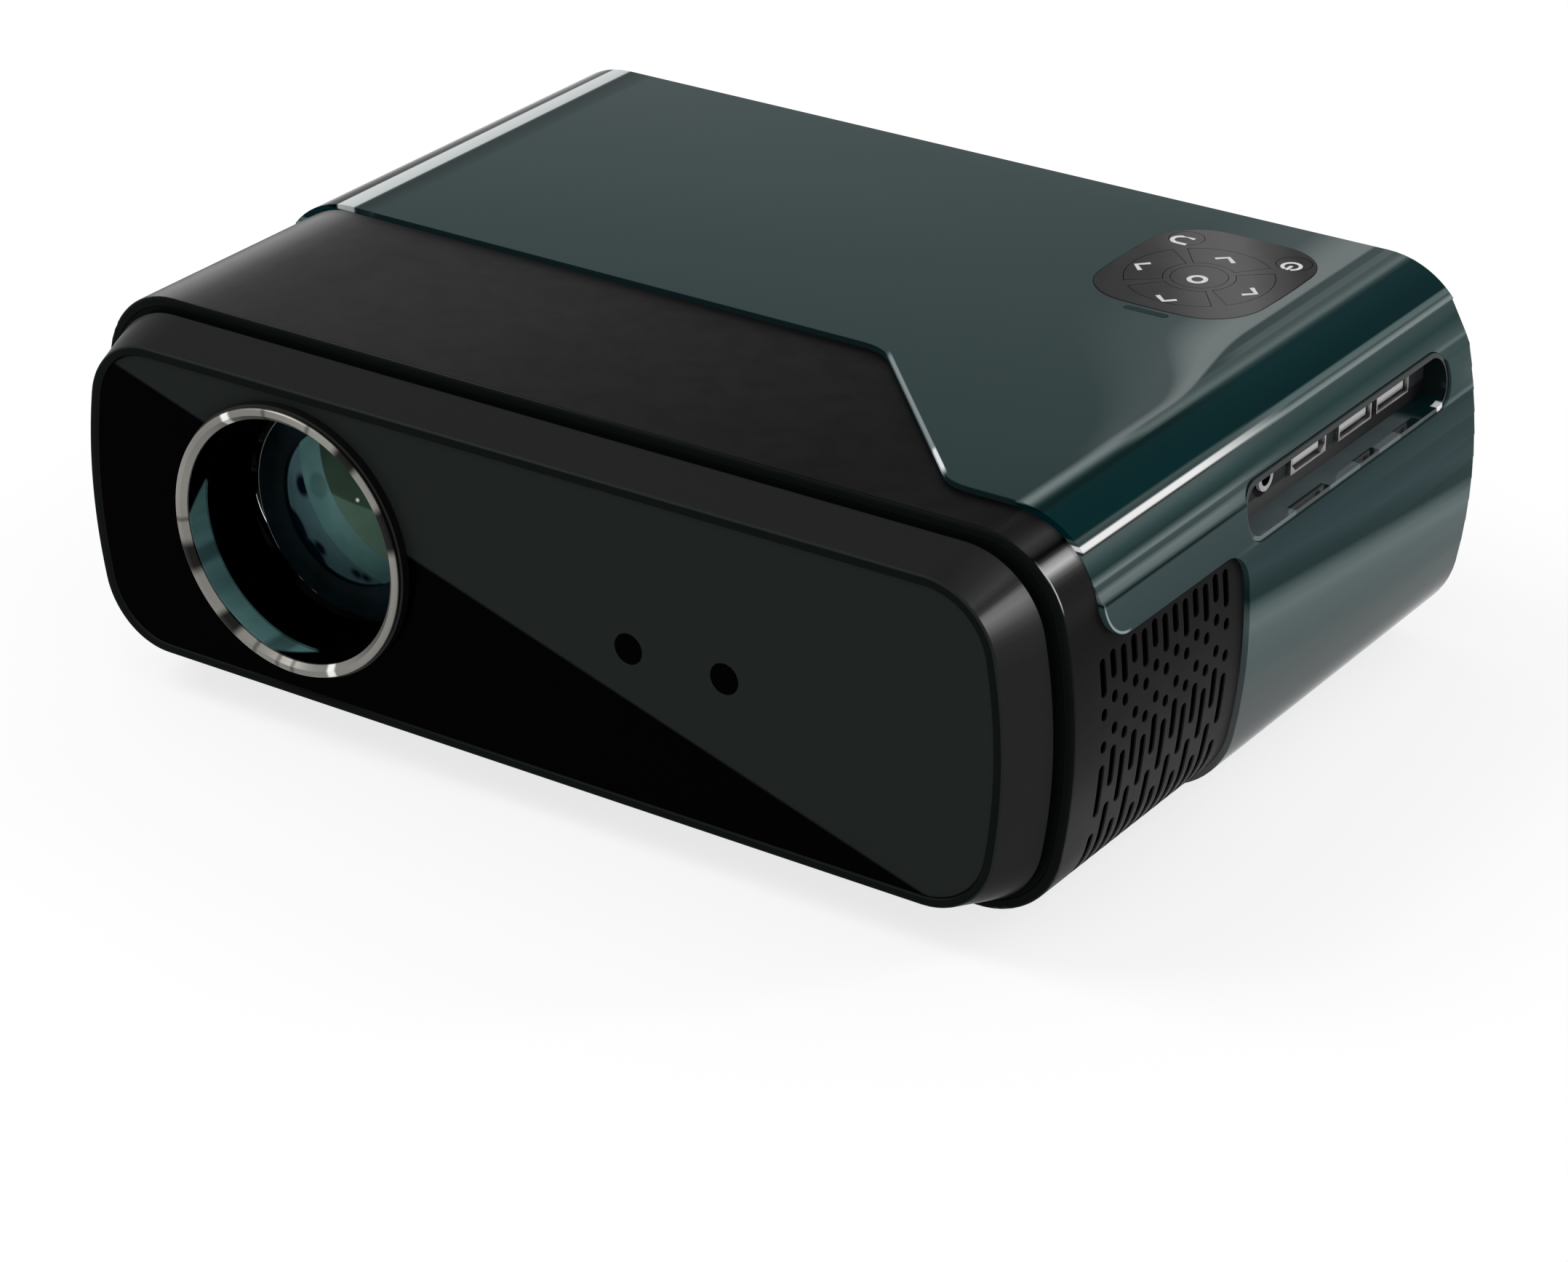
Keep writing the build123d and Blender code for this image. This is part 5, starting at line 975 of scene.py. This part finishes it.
@dataclass(frozen=True)
class CircuitBoard:
    """Solder mask over traces, with small pads."""

    name: str
    mask: Triple = (0.010, 0.075, 0.032)
    trace: Triple = (0.020, 0.130, 0.055)
    pad: Triple = (0.48, 0.36, 0.14)

    def build(self) -> Material:
        """Make the material.

        Returns:
            The material.
        """
        sheet = FinishSheet(self.name)
        inputs = {
            "Vector": sheet.place(), "Scale": 260, "Mortar Size": 0.03,
            "Color1": self.mask, "Color2": tint(self.mask, 1.15), "Mortar": self.trace,
        }
        lines = sheet.out("ShaderNodeTexBrick", inputs, "Color")
        dots = sheet.cells(420)
        board = sheet.blend(sheet.span(dots, 0.14, 0.18, 1, 0), lines, self.pad)
        return sheet.surface({"Base Color": board, "Roughness": sheet.span(dots, 0.1, 0.2, 0.25, 0.42)})


@dataclass(frozen=True)
class Foam:
    """Open-cell foam."""

    name: str
    colour: Triple = (0.018, 0.018, 0.020)

    def build(self) -> Material:
        """Make the material.

        Returns:
            The material.
        """
        sheet = FinishSheet(self.name)
        pores = sheet.cells(900)
        sheet.relief(pores, 0.9, 0.0006)
        shade = sheet.blend(pores, tint(self.colour, 0.3), tint(self.colour, 1.6))
        return sheet.surface({"Base Color": shade, "Roughness": sheet.span(pores, 0, 0.6, 0.85, 1)})


Finish = Surface | Metal | CircuitBoard | Foam

# Painted highlight across the keypad and its caps, along a diagonal: tones rise to a pale band in the middle and
# fall away on each side.
PAD_ROW = greys(
    (88, 50), (98, 57), (102, 60), (106, 65), (109, 73), (112, 81), (116, 89), (123, 93), (128, 90), (131, 82),
    (134, 73), (137, 67), (142, 52),
)

FINISHES: dict[Slot, Finish] = {
    Slot.COVER: CoverPaint("teal gloss cover", 0.10, 0.015, 0.02),
    Slot.SHELL: SatinShell("satin black shell", 0.40, 0.015, 0.12),
    Slot.BEZEL: BezelGloss("black bezel", 0.24, 0.01, 0.05),
    # The front plate's pale tone is a painted reflection.
    Slot.PANEL: AcrylicWithPaintedReflection("black acrylic with painted reflection", 0.14, 0.006, 0.01, (0.0165, 0.0200, 0.0190)),
    Slot.RING: TurnedChrome("bright lens ring"),
    Slot.HOOD: HoodGloss("black lens hood"),
    Slot.WINDOW: Plastic("dark window", 0.08, 0.005, 0.01, (0.0003, 0.0003, 0.0003)),
    Slot.GLASS: ClearGlass("clear optical glass", colour=(0.80, 0.93, 0.90)),
    Slot.BARREL: BarrelGloss("black lens barrel"),
    Slot.KEY: GradedPlastic("satin key cap", 0.40, 0.03, 0.08, lean=0.7, row=PAD_ROW),
    Slot.FASCIA: GradedPlastic("satin keypad", 0.38, 0.03, 0.08, lean=0.7, row=PAD_ROW),
    Slot.BOARD: CircuitBoard("green circuit board"),
    Slot.SOCKET: Metal("plated socket", (0.42, 0.41, 0.41), 0.34, (1, 6, 60), 12),
    Slot.JACK: Plastic("moulded black nylon", 0.48, 0.20, 0.3, (0.010, 0.010, 0.010)),
    Slot.RUBBER: Plastic("soft rubber", 0.85, 0.25, 0.5, (0.016, 0.016, 0.016), grain_depth=0.00005),
    Slot.BRASS: Metal("turned brass", (0.60, 0.42, 0.15), 0.28, (20, 20, 900), 1),
    Slot.SCREW: Metal("zinc screw", (0.42, 0.42, 0.43), 0.32, (30, 30, 30), 12),
    Slot.ENGINE: Plastic("glass-filled engine case", 0.62, 0.4, 0.5, (0.024, 0.024, 0.025)),
    Slot.SINK: Metal("extruded aluminium", (0.62, 0.62, 0.63), 0.36, (2, 2, 90), 16),
    Slot.MIRROR: Metal("front-silvered mirror", (0.86, 0.87, 0.88), 0.03, (3, 3, 3), 2, 0.02, 0),
    Slot.FOAM: Foam("open dust foam"),
    Slot.MOTOR: Metal("drawn steel can", (0.42, 0.42, 0.43), 0.30, (8, 8, 400), 1),
    Slot.LAMP: Metal("ceramic lamp board", (0.78, 0.76, 0.62), 0.50, (60, 60, 60), 4, 0.1),
    Slot.PINION: Plastic("white acetal", 0.42, colour=(0.66, 0.66, 0.62)),
}
OWN_FINISHES: dict[str, Finish] = {
    # The front glass's colours are painted reflections.
    "front_glass": LensWithPaintedReflections("front glass with painted reflections"),
    "port_bay": LedgeGloss("gloss bay liner", 0.12, 0.30, 0.02),
    "port_plate": PortFace("port plate", 0.45, 0.05, 0.15),
    "audio_jack": JackFace("audio jack", 0.40, 0.20, 0.05),
    "status_window": Plastic("smoked status window", 0.15, 0.01, 0.01, shown(38, 53, 54, 0.96, 0.008)),
}
KEY_PRINT = Plastic("pale key print", 0.5, 0.1, colour=(0.66, 0.66, 0.65))
# Tone by height: palest across the contact tongue, with painted shade in the gap below it and towards the socket's
# top.
CARRIER = GradedPlastic(
    "pale contact carrier", 0.45, 0.10, 0.10, axis_name="Z",
    row=greys((67.4, 120), (68.8, 112), (69.4, 160), (71.5, 150), (73.5, 130)), light=0.55, sheen=0,
)


class Palette:
    """Materials of the finishes."""

    @staticmethod
    @cache
    def get(finish: Finish) -> Material:
        """Make a finish's material, the first time that it is asked for."""
        return finish.build()

    @staticmethod
    def of_node(node: str, slot: Slot) -> Material:
        """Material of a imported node: its own finish, or else its slot's."""
        return Palette.get(OWN_FINISHES.get(node, FINISHES[slot]))

    @staticmethod
    def dress_nodes() -> None:
        """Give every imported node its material."""
        for part in frame["record"]["subparts"]:
            node = frame["nodes"][part["node"]]
            material = Palette.of_node(part["node"], Slot(part["material_slot"]))
            if not node.material_slots:
                node.data.materials.append(material)
            for held in node.material_slots:
                held.material = material


# Modelling
class Bench:
    """Modelling steps that the sub-assemblies share."""

    @staticmethod
    def clear() -> None:
        """Leave nothing selected."""
        bpy.ops.object.select_all(action="DESELECT")

    @staticmethod
    def hold(obj: Object) -> None:
        """Leave one object alone selected and active.

        Args:
            obj: Object to hold.
        """
        Bench.clear()
        obj.select_set(True)
        bpy.context.view_layer.objects.active = obj

    @staticmethod
    def named(name: str) -> Object:
        """Name the active object and its mesh, and return it."""
        bpy.context.active_object.name = bpy.context.active_object.data.name = name
        return bpy.context.active_object

    @staticmethod
    def settle() -> None:
        """Put the selected objects' places into their meshes."""
        bpy.ops.object.transform_apply(location=True, rotation=True, scale=True)

    @staticmethod
    def link(name: str, data: bpy.types.ID) -> Object:
        """Put some data into the scene as an object.

        Args:
            name: Name of the object.
            data: Mesh, curve, camera or light.

        Returns:
            The object.
        """
        obj = bpy.data.objects.new(name, data)
        bpy.context.scene.collection.objects.link(obj)
        return obj

    @staticmethod
    def edge_round(obj: Object, width: float, segments: int, limit: str = "ANGLE") -> None:
        """Round edges with an applied bevel.

        Args:
            obj: Object to round.
            width: Width of the rounding.
            segments: Faces across the rounding.
            limit: Whether the edges' angle or their weight counts.
        """
        Bench.hold(obj)
        bpy.ops.object.shade_smooth()
        bpy.ops.object.modifier_add(type="BEVEL")
        bevel = obj.modifiers[-1]
        bevel.width, bevel.segments, bevel.limit_method = width, segments, limit
        bevel.angle_limit = SHARP_EDGE
        bevel.harden_normals = True
        bpy.ops.object.modifier_apply(modifier=bevel.name)

    @staticmethod
    def finish(
        obj: Object, slot: Slot, body: Body = Body.CASE, replaces: tuple[str, ...] = (),
        coat: Finish | None = None,
    ) -> None:
        """Dress a piece, set it on its body and report it.

        Args:
            obj: Piece to finish.
            slot: Material slot that it belongs to.
            body: Body that carries it.
            replaces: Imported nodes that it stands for.
            coat: Finish of its own.
        """
        obj.data.materials.clear()
        obj.data.materials.append(Palette.get(coat) if coat else Palette.of_node("".join(replaces), slot))
        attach(obj, body.value)
        if replaces:
            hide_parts(*replaces)
        LOG.info("%s: %d faces on %s", obj.name, len(obj.data.polygons), body.value)


@dataclass(frozen=True)
class Skin:
    """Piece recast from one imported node, with its rounding in millimetres."""

    node: str
    name: str
    slot: Slot
    rounding: float
    body: Body = Body.CASE
    merged: float = 0.000002
    flat: float = radians(0.4)

    def shape(self) -> Object:
        """Copy the node's mesh, clean it and round its edges.

        Returns:
            The new piece.
        """
        obj = Bench.link(self.name, frame["nodes"][self.node].data.copy())
        obj.data.name = self.name
        Bench.hold(obj)
        bpy.ops.mesh.customdata_custom_splitnormals_clear()
        bpy.ops.object.mode_set(mode="EDIT")
        bpy.ops.mesh.select_all(action="SELECT")
        bpy.ops.mesh.remove_doubles(threshold=self.merged)
        bpy.ops.mesh.dissolve_limited(angle_limit=self.flat)
        bpy.ops.object.mode_set(mode="OBJECT")
        if self.rounding:
            Bench.edge_round(obj, self.rounding * MM, 2)
        else:
            bpy.ops.object.shade_smooth_by_angle(angle=SHARP_EDGE)
        return obj

    def build(self) -> None:
        """Shape and dress the piece."""
        Bench.finish(self.shape(), self.slot, self.body, (self.node,))


@dataclass(frozen=True)
class CoverSkin(Skin):
    """Cover, whose outer front edges are rounded more widely than the rest."""

    front: float = 0.65
    minor: float = 0.38
    middle: float = 0.045
    flatten: float = 0.3
    ahead: float = -0.35
    outward: float = 0.6

    def shape(self) -> Object:
        """Recast the node, weigh its sharp edges and round them by their weight.

        Returns:
            The piece.
        """
        obj = super().shape()
        mesh = obj.data
        weights = mesh.attributes.new("bevel_weight_edge", "FLOAT", "EDGE")
        beside: dict[tuple[int, int], list[Vector]] = {}
        for face in mesh.polygons:
            for key in face.edge_keys:
                beside.setdefault(key, []).append(face.normal)
        for edge, key in zip(mesh.edges, mesh.edge_keys):
            pair = beside.get(key, [])
            if len(pair) != 2 or pair[0].angle(pair[1], 0.0) < SHARP_EDGE:
                continue
            middle = (mesh.vertices[key[0]].co + mesh.vertices[key[1]].co) / 2
            away = Vector((middle.x * self.flatten, 0.0, middle.z - self.middle)).normalized()
            ahead = min(normal.y for normal in pair) < self.ahead
            outer = max(normal.dot(away) for normal in pair) > self.outward
            weights.data[edge.index].value = 1.0 if ahead and outer else self.minor
        Bench.edge_round(obj, self.front * MM, 4, "WEIGHT")
        return obj


@dataclass(frozen=True)
class Casework:
    """Case pieces, each recast from its solid with rounded edges."""

    skins: tuple[Skin, ...] = (
        CoverSkin("outer_cover", "cover_skin", Slot.COVER, 0.0),
        Skin("body_shell", "shell_skin", Slot.SHELL, 0.25),
        Skin("front_bezel", "bezel_skin", Slot.BEZEL, 0.25),
        Skin("front_panel", "panel_skin", Slot.PANEL, 0.08),
        Skin("bottom_plate", "bottom_skin", Slot.SHELL, 0.3),
        Skin("rear_panel", "rear_skin", Slot.SHELL, 0.25),
        Skin("port_bay", "bay_skin", Slot.COVER, 0.2),
        Skin("port_plate", "port_skin", Slot.JACK, 0.1),
        Skin("power_inlet", "inlet_skin", Slot.JACK, 0.25),
        Skin("keypad_fascia", "pad_skin", Slot.FASCIA, 0.05),
        Skin("rubber_feet", "feet_skin", Slot.RUBBER, 0.3),
    )

    def build(self) -> None:
        """Build each skin."""
        for skin in self.skins:
            skin.build()


@dataclass(frozen=True)
class LensGroup(Casework):
    """Bright ring, hood, barrel and front glass."""

    skins: tuple[Skin, ...] = (
        Skin("lens_hood", "hood_liner", Slot.HOOD, 0.1),
        Skin("focus_barrel", "barrel_skin", Slot.BARREL, 0.15, Body.BARREL),
        Skin("front_glass", "objective_glass", Slot.GLASS, 0.0, Body.BARREL),
    )
    centre: Triple = LENS_CENTRE
    ring_radius: float = 31.0
    lip_radius: float = 30.55
    lip_bore: float = 27.9
    ring_bore: float = 28.6
    shank: float = 29.6
    ring_front: float = -91.5
    step_depth: float = 1.3
    chamfer: float = 1.1
    panel_front: float = -88.0
    wall: float = -84.15
    hood_front: float = -89.975
    lip: float = 0.6
    nick: float = 0.15
    slope: float = 0.2
    steps: int = 160
    merged: float = 0.000003
    crease: float = radians(32)

    def ring(self) -> None:
        """Turn the ring with a chamfered bore, a rolled lip and a small step behind it."""
        r, f, e, bore = self.lip_radius, self.ring_front, self.lip, self.lip_bore
        arc = [radians(a) for a in range(0, 91, 15)]
        edge = bore + self.chamfer
        profile = [(bore, f + self.chamfer), (edge - self.nick, f + self.nick), (edge, f)]
        profile += [(r - e + e * sin(a), f + e - e * cos(a)) for a in arc]
        profile += [(r, f + self.step_depth), (self.ring_radius, f + self.step_depth + self.slope)]
        profile += [(self.ring_radius, self.panel_front), (self.shank, self.panel_front), (self.shank, self.wall)]
        profile += [(self.ring_bore, self.wall), (self.ring_bore, self.hood_front), (bore, self.hood_front)]
        Bench.clear()
        bpy.ops.mesh.primitive_circle_add(vertices=len(profile), radius=0.01)
        obj = Bench.named("ring_trim")
        Bench.settle()
        for vertex, (radius, depth) in zip(obj.data.vertices, profile):
            vertex.co = (self.centre[0] + radius * MM, depth * MM, self.centre[2])
        bpy.ops.object.mode_set(mode="EDIT")
        bpy.ops.mesh.select_all(action="SELECT")
        bpy.ops.mesh.spin(steps=self.steps, angle=2 * pi, center=self.centre, axis=(0.0, 1.0, 0.0))
        bpy.ops.mesh.select_all(action="SELECT")
        bpy.ops.mesh.remove_doubles(threshold=self.merged)
        bpy.ops.mesh.normals_make_consistent(inside=False)
        bpy.ops.object.mode_set(mode="OBJECT")
        bpy.ops.object.shade_smooth_by_angle(angle=self.crease)
        Bench.finish(obj, Slot.RING, replaces=("lens_ring",))

    def build(self) -> None:
        """Build the ring and the skins."""
        self.ring()
        super().build()


@dataclass(frozen=True)
class Ports:
    """Pale contact carriers seen inside the video and data sockets."""

    front: float = 118.7
    back: float = 110.0
    rounding: float = 0.3
    mouths: tuple[tuple[str, float, float, float, float], ...] = (
        ("hdmi_carrier", 21.3, 32.4, 68.5, 71.6),
        ("usb_carrier_front", 41.0, 53.2, 68.3, 72.3),
        ("usb_carrier_rear", 57.7, 69.9, 68.3, 72.3),
    )

    def build(self) -> None:
        """Make one carrier for each socket."""
        for name, low_y, high_y, low_z, high_z in self.mouths:
            low, high = (self.back, low_y, low_z), (self.front, high_y, high_z)
            Bench.clear()
            bpy.ops.mesh.primitive_cube_add(size=1.0, location=[(a + b) / 2 * MM for a, b in zip(low, high)])
            piece = Bench.named(name)
            piece.scale = [(b - a) * MM for a, b in zip(low, high)]
            Bench.settle()
            Bench.edge_round(piece, self.rounding * MM, 3)
            Bench.finish(piece, Slot.SOCKET, coat=CARRIER)


@dataclass(frozen=True)
class Keypad:
    """Key caps with pale marks."""

    top: float = 89.95
    line: float = 1.1
    fine_line: float = 0.9
    flatten: float = 0.05
    cap_rounding: float = 0.06
    ok_ring: tuple[Pair, float, float, float] = ((76.9, 52.8), 1.8, 0, 360)
    power_ring: tuple[Pair, float, float, float] = ((90.2, 70.3), 2.0, -70, 250)
    power_bar: tuple[Pair, Pair] = ((90.15, 70.5), (90.15, 68.0))
    hook_head: tuple[Pair, Pair] = ((65.0, 72.2), (62.4, 72.35))
    hook_bend: tuple[Pair, float, float, float, int] = ((62.5, 70.4), 1.9, 90, 270, 12)
    hook_foot: Pair = (64.9, 68.5)
    keys: tuple[Body, ...] = (Body.OK, Body.UP, Body.DOWN, Body.LEFT, Body.RIGHT, Body.BACK, Body.POWER)
    arrows: tuple[tuple[str, Body, tuple[Pair, ...]], ...] = (
        ("mark_up", Body.UP, ((74.2, 65.1), (76.4, 67.15), (78.9, 65.0))),
        ("mark_down", Body.DOWN, ((74.3, 40.5), (76.9, 38.45), (79.0, 40.5))),
        ("mark_left", Body.LEFT, ((64.0, 50.5), (61.6, 52.8), (63.9, 55.05))),
        ("mark_right", Body.RIGHT, ((89.1, 50.6), (91.4, 52.8), (89.0, 55.1))),
    )

    @staticmethod
    def arc(centre: Pair, radius: float, start: float, end: float, count: int = 24) -> list[Pair]:
        """Points on an arc, in millimetres, from one angle in degrees to another."""
        turns = [radians(start + (end - start) * k / count) for k in range(count + 1)]
        return [(centre[0] + radius * cos(t), centre[1] + radius * sin(t)) for t in turns]

    def mark(self, name: str, body: Body, paths: list[list[Pair]], width: float) -> None:
        """Draw a thin raised mark on a key.

        Args:
            name: Name of the new piece.
            body: Key that carries it.
            paths: Lists of X and Y points in millimetres; a path whose ends meet is closed.
            width: Width of the line in millimetres.
        """
        curve = bpy.data.curves.new(name, "CURVE")
        curve.dimensions = "3D"
        curve.bevel_depth = width / 2 * MM
        curve.bevel_resolution = 3
        curve.use_fill_caps = True
        for path in paths:
            closed = path[0] == path[-1]
            points = path[:-1] if closed else path
            spline = curve.splines.new("POLY")
            spline.points.add(len(points) - 1)
            for point, (x, y) in zip(spline.points, points):
                point.co = (x * MM, y * MM, 0.0, 1.0)
            spline.use_cyclic_u = closed
        Bench.hold(Bench.link(name, curve))
        bpy.ops.object.convert(target="MESH")
        obj = Bench.named(name)
        obj.scale = (1.0, 1.0, self.flatten)
        obj.location = (0.0, 0.0, self.top * MM)
        Bench.settle()
        bpy.ops.object.shade_smooth()
        Bench.finish(obj, Slot.KEY, body, coat=KEY_PRINT)

    def build(self) -> None:
        """Recast the caps and draw their marks."""
        for body in self.keys:
            key = body.value.removesuffix("_key")
            Skin(f"key_{key}", f"cap_{key}", Slot.KEY, self.cap_rounding, body).build()
        ring = self.arc(*self.ok_ring)
        ring[-1] = ring[0]
        power = [self.arc(*self.power_ring), list(self.power_bar)]
        hook = [*self.hook_head, *self.arc(*self.hook_bend), self.hook_foot]
        for name, body, arms in self.arrows:
            self.mark(name, body, [list(arms)], self.line)
        self.mark("mark_ok", Body.OK, [ring], self.line)
        self.mark("mark_power", Body.POWER, power, self.fine_line)
        self.mark("mark_back", Body.BACK, [hook], self.line)


@dataclass(frozen=True)
class Studio:
    """Camera, lamps, world and floor."""

    eye: Triple = (0.5348, -0.7581, 0.4753)
    right: Triple = (0.82195, 0.56949, -0.00872)
    up: Triple = (-0.25074, 0.37556, 0.89223)
    ahead: Triple = (-0.51139, 0.73118, -0.45149)
    focal: float = 107.0
    sensor: float = 36.0
    fill: float = 0.62
    floor_size: float = 14.0
    floor_bounce: float = 0.90
    floor_matte: float = 0.26
    floor_glow: float = 0.77
    lamps: tuple[tuple[str, Triple, Triple, Pair, float], ...] = (
        ("key lamp", (-0.9, -0.5, 1.3), (0.0, 0.0, 0.05), (0.7, 0.7), 9.0),
        ("rim lamp", (1.1, 0.9, 0.9), (0.1, 0.0, 0.06), (0.25, 0.9), 5.0),
    )

    def camera(self) -> None:
        """Set the camera at the photograph's place."""
        data = bpy.data.cameras.new("view")
        data.lens = self.focal
        data.sensor_fit = "HORIZONTAL"
        data.sensor_width = self.sensor
        data.clip_start = 0.01
        obj = Bench.link("view", data)
        turn = Matrix((self.right, self.up, [-a for a in self.ahead])).transposed()
        obj.matrix_world = Matrix.Translation(self.eye) @ turn.to_4x4()
        bpy.context.scene.camera = obj

    @staticmethod
    def seen(sheet: NodeSheet, unseen: float, seen: float) -> Socket:
        """Value that differs for camera, glossy and transmission rays.

        Args:
            sheet: Node tree to add it to.
            unseen: Value for all other rays.
            seen: Value for those rays.

        Returns:
            Value socket.
        """
        rays = sheet.add("ShaderNodeLightPath", {}).outputs
        share = sheet.most(*(rays[f"Is {kind} Ray"] for kind in ("Camera", "Glossy", "Transmission")))
        return sheet.out("ShaderNodeMapRange", {"Value": share, "To Min": unseen, "To Max": seen})

    def world(self) -> None:
        """Make a white world that lights the object at a plain level."""
        bpy.context.scene.world = bpy.data.worlds.new("studio")
        sheet = NodeSheet(bpy.context.scene.world)
        light = {"Color": EVEN, "Strength": self.seen(sheet, self.fill, 1.0)}
        sheet.add("ShaderNodeOutputWorld", {"Surface": sheet.out("ShaderNodeBackground", light)})

    def floor(self) -> None:
        """Lay a pale floor that reads as white, keeps the shadow and is clear from below."""
        Bench.clear()
        bpy.ops.mesh.primitive_plane_add(size=self.floor_size, location=ORIGIN)
        obj = Bench.named("floor")
        material = bpy.data.materials.new("pale floor")
        sheet = NodeSheet(material)
        shade = self.seen(sheet, self.floor_bounce, self.floor_matte)
        matte = sheet.out("ShaderNodeBsdfDiffuse", {"Color": shade})
        glow = sheet.out("ShaderNodeEmission", {"Strength": self.seen(sheet, 0.0, self.floor_glow)})
        both = sheet.out("ShaderNodeAddShader", {0: matte, 1: glow})
        clear = sheet.out("ShaderNodeBsdfTransparent", {})
        under = sheet.out("ShaderNodeNewGeometry", {}, "Backfacing")
        whole = sheet.out("ShaderNodeMixShader", {0: under, 1: both, 2: clear})
        sheet.add("ShaderNodeOutputMaterial", {"Surface": whole})
        obj.data.materials.append(material)

    def hang_lamps(self) -> None:
        """Hang the soft lamps."""
        for name, place, aim, size, power in self.lamps:
            data = bpy.data.lights.new(name, "AREA")
            data.shape = "RECTANGLE"
            data.size, data.size_y = size
            data.energy = power
            obj = Bench.link(name, data)
            obj.location = place
            obj.rotation_euler = (Vector(aim) - Vector(place)).to_track_quat("-Z", "Y").to_euler()

    def build(self) -> None:
        """Build the whole studio."""
        bpy.context.scene.view_settings.view_transform = "Standard"
        self.camera()
        self.world()
        self.floor()
        self.hang_lamps()


def main() -> None:
    """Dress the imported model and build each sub-assembly."""
    logging.basicConfig(level=logging.INFO, format="%(message)s")
    Studio().build()
    Palette.dress_nodes()
    for assembly in (Casework(), LensGroup(), Ports(), Keypad()):
        LOG.info("building %s", type(assembly).__name__)
        assembly.build()


if __name__ == "__main__":
    main()
